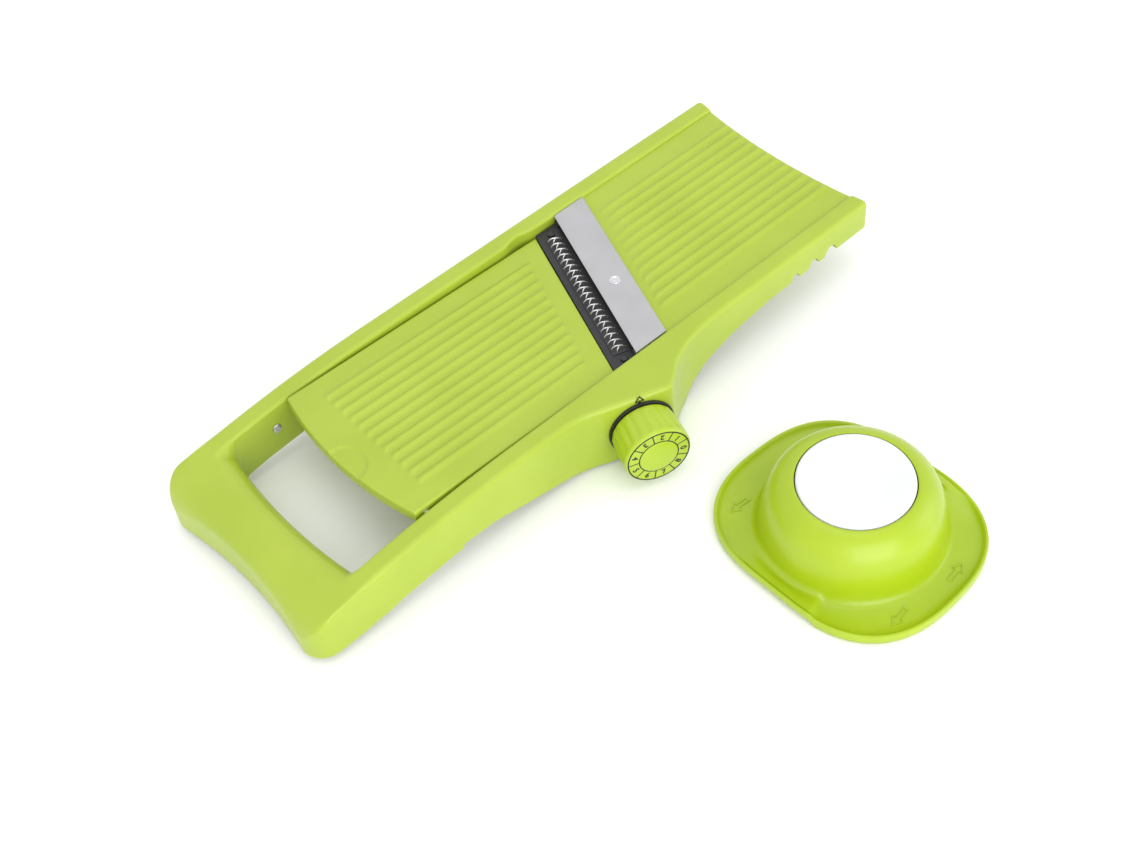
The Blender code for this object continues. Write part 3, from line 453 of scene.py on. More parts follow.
@dataclass
class Ribs:
    """The row of soft lengthwise ribs that the deck and the ramp share."""

    count: int = 12
    pitch: float = 6.5
    half_base: float = 2.5
    half_top: float = 0.4
    rise: float = 1.05

    def centres(self) -> list[float]:
        """Y of each rib."""
        return [((self.count - 1) / 2 - number) * self.pitch for number in range(self.count)]

    def lines(self) -> list[float]:
        """Y of the grid lines that draw the ribs' sides."""
        found: list[float] = []
        for centre in self.centres():
            for step in range(-5, 6):
                found.append(centre + step * self.half_base / 5.0)
        return found

    def lift(self, y: float) -> float:
        """How far the ribs stand up at a Y."""
        gap = min(abs(y - centre) for centre in self.centres())
        return self.rise * smooth_step((self.half_base - gap) / (self.half_base - self.half_top))


@dataclass
class Body:
    """The moulded body: rails, handle bar, dial housing and the ribbed deck behind the blade."""

    top: float = 40.5
    deck_floor: float = 38.6
    deck_thick: float = 3.0
    rail_in: float = 51.0
    rail_out: float = 61.5
    wall: float = 2.6
    skin: float = 2.8
    far_x: float = 93.8
    far_bow: float = 5.2
    handle_x: float = -261.5
    handle_bow: float = 4.5
    handle_centre: float = -254.0
    handle_corner: float = 12.0
    opening_x: float = -233.5
    opening_bow: float = 4.0
    opening_corner: float = 5.0
    drop_start: float = -140.0
    drop_run: float = 111.0
    drop_depth: float = 9.4
    roll_start: float = -251.0
    roll_radius: float = 15.6
    inner_roll: float = 11.5
    inner_roll_drop: float = 12.4
    handle_bottom: float = 3.6
    hip_bottom: float = 1.5
    hip_face: float = -78.0
    hip_corner: float = 17.3
    hip_left: float = -19.0
    edge_in: float = 1.9
    edge_out: float = 2.6
    blade_rear: float = 29.5
    bed_front: float = 20.0
    scoop_x: float = -45.0
    scoop_half: float = 12.0
    scoop_deep: float = 2.2
    ribs: Ribs = field(default_factory=Ribs)

    def near_line(self) -> list[Flat]:
        """The outer edge on the dial's side, from the handle to the far end."""
        left = AXES.place(self.hip_left, self.hip_face)
        corner = AXES.place(self.hip_corner, self.hip_face)
        face = (Vector(corner) - Vector(left)).normalized()
        before = Vector(corner) - face * 4.0
        side = -self.rail_out
        ease = (left[0] - 9.0, left[1] + 4.2)
        past = (corner[0] + 3.6, corner[1] + 2.8)
        points = curve_points((-130.0, side), (-110.0, side), ease, left, 30)
        points += curve_points((before.x, before.y), corner, corner, past, 12)
        points += curve_points((-54.0, -74.0), (-44.0, -65.0), (-30.0, side), (-6.0, side), 30)
        return points

    def bottom_line(self) -> list[Flat]:
        """The walls' lower edge from the handle to the far end, with the three bowl notches."""
        points = [(-275.0, self.handle_bottom), (-236.0, 4.4), (-214.0, 8.1), (-187.0, 10.6)]
        points += [(-181.0, 10.8), (-179.2, 13.2), (-160.0, 12.6), (-141.0, 8.3), (-122.0, 4.6)]
        points += [(-104.0, 1.9), (-96.0, self.hip_bottom)]
        points += [(-42.0, self.hip_bottom), (-31.0, 9.3), (-20.0, 14.1), (1.4, 19.5), (24.0, 22.8)]
        for middle, half, height in ((44.0, 2.8, 3.8), (57.8, 3.6, 4.4), (70.6, 4.4, 5.0)):
            for angle in range(0, 181, 15):
                turn = math.radians(angle)
                points.append((middle - half * math.cos(turn), 23.4 + height * math.sin(turn)))
        return points + [(110.0, 24.0)]

    def handle_drop(self, x: float) -> float:
        """How far the handle end sinks at a place along the slicer."""
        if x >= self.drop_start:
            return 0.0
        sunk = self.drop_depth * ((self.drop_start - x) / self.drop_run) ** 2
        if x < self.roll_start:
            run = min(self.roll_start - x, self.roll_radius * 0.985)
            sunk += self.roll_radius - math.sqrt(self.roll_radius**2 - run**2)
        return sunk

    def far_end(self, y: float) -> float:
        """X of the bowed far end."""
        return self.far_x + self.far_bow * (y / self.rail_out) ** 2

    def rail_stations(self, side: int) -> list[Station]:
        """Cross-sections of one rail, far end first: inner point, outer point, share of handle bar.

        The side is -1 for the dial's rail and 1 for the other.
        """
        tip = self.far_end(self.rail_out)
        stop = self.opening_x + self.opening_bow + self.opening_corner - 0.7
        xs = [tip - 3.0 * share for share in quarter(8)] + spread(tip - 3.8, stop, 400)
        line = self.near_line()
        found = []
        for x in xs:
            outer = read_line(line, x) if side < 0 else self.rail_out
            tuck = round_drop(tip - x, 3.0, 3.0)
            short = self.far_end(self.rail_in) - tip
            inner_x = x + short * smooth_step((x - (tip - 12.0)) / 12.0)
            scoop = 0.0
            if side > 0 and abs(x - self.scoop_x) < self.scoop_half:
                reach = (x - self.scoop_x) / self.scoop_half
                scoop = self.scoop_deep * math.cos(math.pi / 2 * reach) ** 2
            inner = (inner_x, side * (self.rail_in + scoop))
            found.append((inner, (x, side * (abs(outer) - tuck)), 0.0))
        return found

    def corner_stations(self, side: int) -> list[Station]:
        """Cross-sections that fan round one corner of the handle, from the rail to the bar."""
        radius = self.opening_corner
        edge = self.rail_in - radius
        bar_x = self.opening_x + self.opening_bow * (edge / self.rail_in) ** 2
        round_off = self.handle_corner
        outside = [(x, self.rail_out) for x in spread(bar_x + radius, self.handle_centre, 14)]
        for angle in spread(90.0, 180.0, 18)[1:]:
            turn = math.radians(angle)
            y = self.rail_out - round_off + round_off * math.sin(turn)
            outside.append((self.handle_centre + round_off * math.cos(turn), y))
        found = []
        count = len(outside) - 1
        for number, outer in enumerate(outside):
            share = number / count
            turn = math.radians(90.0 + 90.0 * share)
            x, y = bar_x + radius + radius * math.cos(turn), edge + radius * math.sin(turn)
            found.append(((x, side * y), (outer[0], side * outer[1]), smooth_step(share)))
        return found

    def bar_stations(self) -> list[Station]:
        """Cross-sections of the handle bar from the far corner to the near one."""
        reach = self.rail_in - self.opening_corner
        flat = self.rail_out - self.handle_corner
        found = []
        for y in spread(reach - 1.0, -reach + 1.0, 50):
            inner = self.opening_x + self.opening_bow * (y / self.rail_in) ** 2
            outer = self.handle_x - self.handle_bow * (y / flat) ** 2
            found.append(((inner, y), (outer, y), 1.0))
        return found

    def surface(self, spot: Flat, inside: float, outside: float, handle: float) -> float:
        """Height of the upper skin at a spot, so far inside its edges, with its share of handle."""
        sunk = self.handle_drop(spot[0])
        wide = self.edge_in + (self.inner_roll - self.edge_in) * handle
        deep = self.edge_in + (self.inner_roll_drop - self.edge_in) * handle
        sunk += round_drop(inside, wide, deep)
        sunk += round_drop(outside, self.edge_out, self.edge_out * (1.0 - 0.5 * handle))
        tip = self.far_end(spot[1]) - spot[0]
        return self.top - sunk - round_drop(tip, 2.2, 2.0)

    def section(self, inner: Flat, outer: Flat, handle: float, low: float) -> list[Point]:
        """One closed cross-section: up the inner wall, over, down, and back inside the channel."""
        start, end = Vector(inner), Vector(outer)
        width = (end - start).length
        wide = self.edge_in + (min(self.inner_roll, width * 0.42) - self.edge_in) * handle
        outer_wide = self.edge_out + (9.0 - self.edge_out) * handle
        shares = [wide * share for share in quarter(7)]
        shares += spread(wide, width - outer_wide, 9)[1:-1]
        shares += [width - outer_wide * share for share in reversed(quarter(9))]
        points: list[Point] = []
        for across in shares:
            spot = start.lerp(end, across / width)
            height = self.surface((spot.x, spot.y), across, width - across, handle)
            points.append((spot.x, spot.y, max(height, low + 2.0)))
        foot_in, foot_out = (inner[0], inner[1], low), (outer[0], outer[1], low)
        channel: list[Point] = []
        solid = 0.02 < handle < 0.98 or inner[0] > self.far_x - 2.0
        for share in (1.0, 1.0, 0.75, 0.5, 0.25, 0.0, 0.0):
            across = self.wall + (width - self.skin - self.wall) * share
            spot = start.lerp(end, across / width)
            roof = self.surface((spot.x, spot.y), across, width - across, handle) - self.skin
            channel.append((spot.x, spot.y, low + 0.05 if solid else max(roof, low + 0.5)))
        channel[0] = (channel[0][0], channel[0][1], low)
        channel[-1] = (channel[-1][0], channel[-1][1], low)
        return [foot_in] + points + [foot_out] + channel

    def draw_shell(self, draft: Draft) -> None:
        """Draw the rails, the handle bar and the dial housing as one skin."""
        far = self.rail_stations(1)
        near = self.rail_stations(-1)
        stations = far + self.corner_stations(1)[1:] + self.bar_stations()
        stations += list(reversed(self.corner_stations(-1)))[:-1] + list(reversed(near))
        low_line = self.bottom_line()
        rows: Rows = []
        for inner, outer, handle in stations:
            low = read_line(low_line, 0.5 * (inner[0] + outer[0]))
            rows.append(self.section(inner, outer, handle, low))
        draft.capped(rows)

    def draw_deck(self, draft: Draft) -> None:
        """Draw the ribbed deck with the blade's bed in front of it."""
        half = self.rail_in + 0.15
        ys = sorted(self.ribs.lines() + spread(-half, -40.5, 6) + spread(40.5, half, 6))
        shares = spread(0.0, 0.13, 12) + spread(0.13, 0.9, 10)[1:] + spread(0.9, 1.0, 20)[1:]
        top: Rows = []
        under: Rows = []
        for y in ys:
            start = AXES.x_at(self.bed_front, y)
            end = self.far_end(y)
            first = AXES.x_at(self.blade_rear + 4.6, y)
            row: list[Point] = []
            low: list[Point] = []
            for share in shares:
                x = start + (end - start) * share
                fade = smooth_step((x - first) / 2.4) * smooth_step((end - 0.2 - x) / 2.0)
                height = self.deck_floor + self.ribs.lift(y) * fade - round_drop(end - x, 1.1, 1.0)
                row.append((x, y, height))
                low.append((x, y, self.deck_floor - self.deck_thick))
            top.append(row)
            under.append(low)
        upper, lower = draft.rows(top), draft.rows(under)
        draft.skin([draft.border(upper), draft.border(lower)], False, True)

    def build(self, finishes: Finishes) -> None:
        """Make the body and its carried-over fittings."""
        draft = Draft()
        self.draw_shell(draft)
        shell = draft.piece("body_shell", "lime_satin", finishes, "frame", 40.0)
        deck = Draft()
        self.draw_deck(deck)
        tab = Draft()
        tab.block((16.0, -6.0, self.deck_floor - self.deck_thick), (21.0, 6.0, 38.45), 0.6)
        tab.move(AXES.matrix())
        plate = deck.piece("ribbed_deck", "lime_satin", finishes, "frame", 40.0)
        stud_tab = tab.piece("blade_tab", "lime_satin", finishes, "frame")
        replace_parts(shell, "frame")
        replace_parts(plate, "frame")
        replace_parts(stud_tab, "frame")
        finishes.dress("lime_satin", "housing_cover")
        finishes.dress("turned_steel", "cover_screw_front", "cover_screw_rear")
        finishes.dress("turned_steel", "ramp_pin_near", "ramp_pin_far")
        finishes.dress("turned_steel", "wall_rivet_near", "wall_rivet_far")
        finishes.dress("foot_rubber", "foot_handle_near", "foot_handle_far")
        finishes.dress("foot_rubber", "foot_housing", "foot_rail_far")


@dataclass
class Ramp:
    """The tilting ribbed plate in front of the blade."""

    half: float = 49.6
    front: float = -2.9
    end: float = -195.0
    end_bow: float = 6.5
    pivot_x: float = -189.0
    pivot_z: float = 35.2
    boss: float = 4.2
    front_drop: float = 3.2
    end_rise: float = 1.0
    rib_top: float = 40.0
    rib_start: float = -183.0
    rib_stop: float = -9.0
    skin: float = 2.6
    skirt: float = 6.0
    skirt_wall: float = 2.4
    round_edge: float = 1.1
    thumb_radius: float = 12.0
    thumb_y: float = -4.0
    thumb_depth: float = 0.75
    toe_along: float = 47.0
    toe_rest: float = 5.0
    ribs: Ribs = field(default_factory=Ribs)

    def end_x(self, y: float) -> float:
        """X of the bowed edge over the handle's opening."""
        return self.end - self.end_bow * (1.0 - (y / self.half) ** 2)

    def spot(self, y: float, share: float, inset: float) -> float:
        """X of a place between the end edge and the front edge, with both drawn in."""
        start = self.end_x(y) + inset
        finish = AXES.x_at(self.front, y) - inset
        return start + (finish - start) * share

    def height(self, x: float, y: float, floor: float) -> float:
        """Height of the upper face before the plate is pitched."""
        end, front = self.end_x(y), AXES.x_at(self.front, y)
        last = AXES.x_at(self.front + self.rib_stop, y)
        fade = smooth_step((x - self.rib_start) / 2.6) * smooth_step((last - x) / 2.6)
        level = floor + self.ribs.lift(y) * fade
        reach = math.hypot(x - self.end_x(self.thumb_y), y - self.thumb_y)
        level -= self.thumb_depth * smooth_step((self.thumb_radius - reach) / 1.1)
        for gap in (x - end, (front - x) * math.cos(AXES.skew), self.half - abs(y)):
            level -= round_drop(max(gap, 0.0), self.round_edge, self.round_edge)
        return level

    def draw_plate(self, draft: Draft, floor: float) -> None:
        """Draw the plate, its skirt and its hollow underside."""
        edge = [self.half - self.round_edge * share for share in quarter(5)]
        ys = self.ribs.lines() + edge + [-y for y in edge]
        ys = sorted(ys + spread(39.6, 47.6, 4) + spread(-47.6, -39.6, 4))
        tail = [0.0] + [0.0085 * share for share in quarter(5)][1:]
        shares = tail + spread(0.012, 0.2, 42) + spread(0.2, 0.86, 8)[1:]
        shares += spread(0.86, 0.988, 26)[1:] + [1.0 - value for value in reversed(tail)]
        top: Rows = []
        under: Rows = []
        pinch = (self.half - self.skirt_wall) / self.half
        for y in ys:
            xs = [self.spot(y, share, 0.0) for share in shares]
            top.append([(x, y, self.height(x, y, floor)) for x in xs])
            low_y = y * pinch
            xs = [self.spot(low_y, share, self.skirt_wall) for share in shares]
            under.append([(x, low_y, floor - self.skin) for x in xs])
        upper, lower = draft.rows(top), draft.rows(under)
        around, inside = draft.border(upper), draft.border(lower)

        def hem(vert: bmesh.types.BMVert, base: bmesh.types.BMVert) -> Point:
            """The skirt's lower edge under a border vertex; it is shallow over the comb."""
            front = AXES.x_at(self.front, base.co.y)
            near = smooth_step((base.co.x - (front - 16.0)) / 4.0)
            depth = self.skirt + (self.skin + 0.4 - self.skirt) * near
            return vert.co.x, vert.co.y, floor - depth

        outer_hem = draft.ring([hem(vert, vert) for vert in around])
        inner_hem = draft.ring([hem(vert, base) for vert, base in zip(inside, around)])
        draft.skin([around, outer_hem], False, True)
        draft.skin([outer_hem, inner_hem], False, True)
        draft.skin([inner_hem, inside], False, True)

    def build(self, finishes: Finishes) -> None:
        """Make the ramp with its pivot bosses and toes."""
        run = AXES.x_at(self.front, 0.0) - self.end
        pitch = math.atan((self.front_drop + self.end_rise) / run)
        floor = self.end_rise + self.rib_top - 1.3
        draft = Draft()
        self.draw_plate(draft, floor)
        wide = self.boss
        boss = [(wide - 0.5, -2.3), (wide, -1.8), (wide, 1.8), (wide - 0.5, 2.3)]
        lie_down = Matrix.Rotation(math.pi / 2, 4, "X")
        for side in (-1, 1):
            part = Draft()
            part.turned(boss, 32, False)
            spot = (self.pivot_x, side * (self.half - 2.4), self.pivot_z)
            part.move(Matrix.Translation(spot) @ lie_down)
            draft.take(part)
        pivot = Vector((self.pivot_x, 0.0, self.pivot_z))
        pitched = Matrix.Rotation(pitch, 4, "Y") @ Matrix.Translation(-pivot)
        draft.move(Matrix.Translation(pivot) @ pitched)
        sole = AXES.shaft_z + self.toe_rest + 0.4
        for side in (-1, 1):
            low = side * self.toe_along - 1.8
            toes = Draft()
            toes.block((-9.0, low, sole), (2.2, low + 3.6, sole + 1.6), 0.4)
            toes.block((-9.0, low + 0.1, sole + 0.8), (-6.6, low + 3.5, 34.6), 0.4)
            toes.move(AXES.matrix())
            draft.take(toes)
        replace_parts(draft.piece("ramp_plate", "lime_satin", finishes, "ramp", 40.0), "ramp")


@dataclass
class Blade:
    """The skewed cutting blade with its ground edge, and its stud."""

    front: float = 10.6
    rear: float = 29.5
    top: float = 40.0
    thick: float = 1.2
    half: float = 50.6
    grind: float = 1.3
    stud: float = 20.5
    stud_foot: float = 34.5

    def build(self, finishes: Finishes) -> None:
        """Make the blade and its ringed rivet."""
        front, rear, top, low = self.front, self.rear, self.top, self.top - self.thick
        ground = front + self.grind
        section = [(front, top - 0.42), (ground, top - 0.02), (ground + 0.3, top)]
        section += [(rear - 0.35, top), (rear - 0.1, top - 0.1), (rear, top - 0.35)]
        section += [(rear, low), (front + 4.5, low), (front + 0.1, top - 0.55)]
        rows: Rows = []
        for y in spread(-self.half, self.half, 24):
            rows.append([(across, AXES.along_at(across, y), z) for across, z in section])
        draft = Draft()
        draft.capped(rows)
        draft.move(AXES.matrix())
        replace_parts(draft.piece("blade_plate", "blade_steel", finishes, "frame", 12.0), "blade")
        foot = self.stud_foot
        profile = [(3.2, foot), (3.2, foot + 0.8), (1.7, foot + 0.8), (1.7, top - 0.6)]
        profile += [(3.0, top - 0.1), (3.0, top + 0.16), (2.8, top + 0.36), (2.45, top + 0.4)]
        profile += [(2.15, top + 0.2), (1.9, top + 0.05), (1.3, top + 0.02), (0.9, top + 0.12)]
        profile += [(0.4, top + 0.2)]
        stud = Draft()
        stud.turned(profile, 36, False)
        stud.move(AXES.matrix() @ Matrix.Translation((self.stud, 0.0, 0.0)))
        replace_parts(stud.piece("blade_stud", "comb_steel", finishes, "frame"), "blade_rivet")


@dataclass
class Comb:
    """The julienne comb: a strip with a row of two-pronged hooks on its black carrier; the strip is
    coloured black as painted shade, so the slot reads dark.
    """

    top: float = 35.3
    count: int = 20
    pitch: float = 4.45
    middle: float = 1.5

    def draw_hook(self, draft: Draft, along: float) -> None:
        """One tooth: a rod that comes up from the strip, leans forward and splits in two."""
        stem = [(8.7, 0.2), (8.3, 1.3), (7.2, 2.1), (5.4, 2.7)]
        stem += [(3.7, 2.8), (2.6, 2.4), (1.8, 1.5), (1.4, 0.3)]
        path = [(across, along + 0.1 * (8.7 - across), self.top + z) for across, z in stem]
        draft.tube(path, [0.34, 0.36, 0.38, 0.38, 0.36, 0.34, 0.3, 0.26])
        side = [(5.2, 2.5), (4.6, 2.3), (4.0, 1.6), (3.7, 0.3)]
        branch: list[Point] = []
        for number, (across, z) in enumerate(side):
            branch.append((across, along - 0.1 - 0.45 * number, self.top + z))
        draft.tube(branch, [0.34, 0.32, 0.3, 0.24])

    def build(self, finishes: Finishes) -> None:
        """Make the strip of hooks and dress the carrier and its screws."""
        strip = Draft()
        # The strip is given black_satin as painted shade: it darkens the slot where the open gap
        # would be in shadow.
        strip.block((0.9, -43.5, self.top + 0.05), (9.2, 46.5, self.top + 0.4), 0.12)
        strip.move(AXES.matrix())
        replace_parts(strip.piece("comb_strip", "black_satin", finishes, "comb"), "julienne_teeth")
        draft = Draft()
        for number in range(self.count):
            self.draw_hook(draft, self.middle + (number - (self.count - 1) / 2) * self.pitch)
        draft.move(AXES.matrix())
        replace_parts(draft.piece("julienne_hooks", "comb_steel", finishes, "comb"), "julienne_teeth")
        finishes.dress("black_satin", "comb_carrier", "comb_screw_near", "comb_screw_far")


@dataclass
class Dial:
    """The fluted knob with its printed scale, and the shaft, cams and click wheel behind it."""

    face_along: float = -80.1
    radius: float = 17.0
    length: float = 18.9
    flutes: int = 20
    bore: float = 13.6
    deep: float = 9.0
    ring_out: float = 15.7
    ring_in: float = 10.1
    cap: float = 9.8
    line: float = 0.7
    proud: float = 0.05
    labels: tuple[str, ...] = ("0", "1", "2", "3", "4", "5", "6", "7", "8")

    def matrix(self) -> Matrix:
        """From the knob's own axis, with its face towards +Z, to the slicer's axes."""
        out = Matrix.Translation((0.0, self.face_along, 0.0))
        return AXES.matrix(AXES.shaft_z) @ out @ Matrix.Rotation(math.pi / 2, 4, "X")

    def build_grip(self, finishes: Finishes) -> None:
        """Make the fluted grip with a rounded rim and a sunk face."""
        tall, wide, sunk = self.length, self.radius, self.length - 0.6
        levels = [(0.0, self.bore, 0.0), (0.0, wide - 1.3, 0.0), (0.25, wide - 0.9, 0.1)]
        levels += [(0.7, wide - 0.65, 0.3), (2.0, wide - 0.5, 0.5), (tall * 0.5, wide - 0.2, 0.55)]
        levels += [(tall - 4.6, wide, 0.6), (tall - 3.4, wide, 0.4), (tall - 2.6, wide, 0.12)]
        levels += [(tall - 1.9, wide - 0.02, 0.0), (tall - 1.1, wide - 0.22, 0.0)]
        levels += [(tall - 0.5, wide - 0.55, 0.0), (tall - 0.12, wide - 0.95, 0.0)]
        levels += [(tall, wide - 1.1, 0.0), (sunk, self.ring_out + 0.12, 0.0)]
        levels += [(sunk, self.ring_out - 3.0, 0.0), (sunk, 3.4, 0.0)]
        around = self.flutes * 12
        rows: Rows = []
        for height, radius, depth in levels:
            row = []
            for step in range(around):
                angle = TURN * step / around
                cut = radius - depth * (0.5 - 0.5 * math.cos(self.flutes * angle)) ** 1.4
                row.append((cut * math.cos(angle), cut * math.sin(angle), height))
            rows.append(row)
        inside = [(3.4, tall - 4.0), (3.0, tall - 4.0), (3.0, self.deep), (self.bore, self.deep)]
        rows += [circle(radius, height, around) for radius, height in inside]
        draft = Draft()
        draft.rows(rows, True, True)
        draft.move(self.matrix())
        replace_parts(draft.piece("knob_grip", "lime_knob", finishes, "dial"), "knob")

    def build_face(self, finishes: Finishes) -> None:
        """Make the scale ring and the centre cap."""
        tall, inner, outer, cap = self.length, self.ring_in, self.ring_out, self.cap
        ring = [(inner, tall - 0.7), (outer, tall - 0.7), (outer, tall - 0.1)]
        ring += [(outer - 0.15, tall), (inner + 0.15, tall), (inner, tall - 0.1)]
        draft = Draft()
        draft.turned(ring, 96)
        draft.move(self.matrix())
        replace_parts(draft.piece("dial_scale", "lime_knob", finishes, "dial"), "dial_scale_ring")
        disc = [(cap, tall - 0.7), (cap, tall), (cap - 0.15, tall + 0.2), (cap - 0.6, tall + 0.35)]
        disc += [(7.0, tall + 0.5), (3.0, tall + 0.58), (0.6, tall + 0.6)]
        centre = Draft()
        centre.turned(disc, 96, False)
        centre.move(self.matrix())
        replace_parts(centre.piece("dial_cap", "lime_knob", finishes, "dial"), "knob_centre_cap")

    def build_print(self, finishes: Finishes) -> None:
        """Make the black rings, dividers and numbers of the scale as thin raised ink."""
        tall = self.length
        draft = Draft()
        low, high = tall - 0.3, tall + self.proud
        for near in (self.ring_out - 0.35, self.ring_in - 0.45):
            far = near + self.line
            draft.turned([(near, low), (far, low), (far, high), (near, high)], 96)
        reach = 0.5 * (self.ring_in + self.ring_out)
        count = len(self.labels)
        for number in range(count):
            angle = TURN * (number + 0.5) / count
            bar = Draft()
            bar.block((self.ring_in + 0.1, -0.28, low), (self.ring_out, 0.28, high))
            bar.move(Matrix.Rotation(angle, 4, "Z"))
            draft.take(bar)
        for number, label in enumerate(self.labels):
            angle = TURN * number / count
            curve = bpy.data.curves.new("label", "FONT")
            curve.body = label
            curve.size = 4.4
            curve.extrude = 0.02
            curve.offset = 0.14
            curve.resolution_u = 3
            curve.align_x = "CENTER"
            curve.align_y = "CENTER"
            holder = bpy.data.objects.new("label", curve)
            bpy.context.collection.objects.link(holder)
            bpy.context.view_layer.update()
            graph = bpy.context.evaluated_depsgraph_get()
            mesh = bpy.data.meshes.new_from_object(holder.evaluated_get(graph))
            mesh.transform(
                Matrix.Rotation(angle, 4, "Z")
                @ Matrix.Translation((reach, 0.0, tall + 0.03))
                @ Matrix.Rotation(math.pi / 2, 4, "Z")
            )
            draft.bm.from_mesh(mesh)
            bpy.data.objects.remove(holder, do_unlink=True)
        draft.move(self.matrix())
        draft.piece("dial_markings", "dial_print", finishes, "dial")

    def build_pointer(self, finishes: Finishes) -> None:
        """Make the outlined triangle on the housing that the scale is read against."""
        outer = [(-2.6, 17.3), (2.6, 17.3), (0.0, 21.6)]
        middle = 18.8
        rings: Rows = []
        near, far = self.face_along + 2.02, self.face_along + 2.12
        for scale, depth in ((1.0, far), (1.0, near), (0.55, near), (0.55, far)):
            rings.append([(x * scale, depth, middle + (z - middle) * scale) for x, z in outer])
        draft = Draft()
        draft.rows(rings, True, True)
        draft.move(AXES.matrix(AXES.shaft_z))
        draft.piece("index_mark", "dial_print", finishes, "frame")

    def build(self, finishes: Finishes) -> None:
        """Make everything that turns with the knob, and dress the rest."""
        self.build_grip(finishes)
        self.build_face(finishes)
        self.build_print(finishes)
        self.build_pointer(finishes)
        finishes.dress("turned_steel", "knob_screw", "camshaft", "shaft_clip", "detent_spring")
        finishes.dress("black_satin", "detent_wheel", "bush_near", "bush_far", "index_plate")
        finishes.dress("black_satin", "ramp_cam_near", "ramp_cam_far")
        finishes.dress("black_satin", "comb_cam_near", "comb_cam_far")


# The brim by shares of its radius, then the dome's foot by radius: height, and what a bank adds.
BRIM = (
    *((0.965, 0.0, 1.6), (0.985, 0.2, 2.0), (0.998, 1.1, 2.4), (1.0, 2.4, 2.4), (1.0, 5.0, 1.4)),
    *((0.997, 5.75, 1.4), (0.988, 6.0, 1.4), (0.977, 5.75, 1.4), (0.968, 5.1, 1.4)),
    *((0.958, 4.2, 3.2), (0.94, 3.5, 3.7), (0.9, 3.1, 3.9)),
)
DOME_FOOT = ((47.6, 3.0, 3.0), (45.9, 3.4, 2.4), (44.7, 4.6, 1.6), (43.9, 6.4, 0.8))
BRIM_TOP = slice(9, 15)
# Radius and height over the dome, into the button's well and back down inside.
DOME = [(43.3, 8.8), (42.7, 13.0), (41.9, 18.0), (40.7, 23.0), (39.0, 27.4), (36.6, 31.0)]
DOME += [(33.8, 33.6), (31.2, 35.1), (29.4, 35.8), (28.2, 36.05), (27.75, 35.85), (27.7, 35.2)]
DOME += [(27.7, 32.4), (31.2, 29.2), (34.8, 24.4), (37.8, 18.8), (39.7, 13.2), (40.7, 8.0)]
DOME += [(41.4, 3.6)]


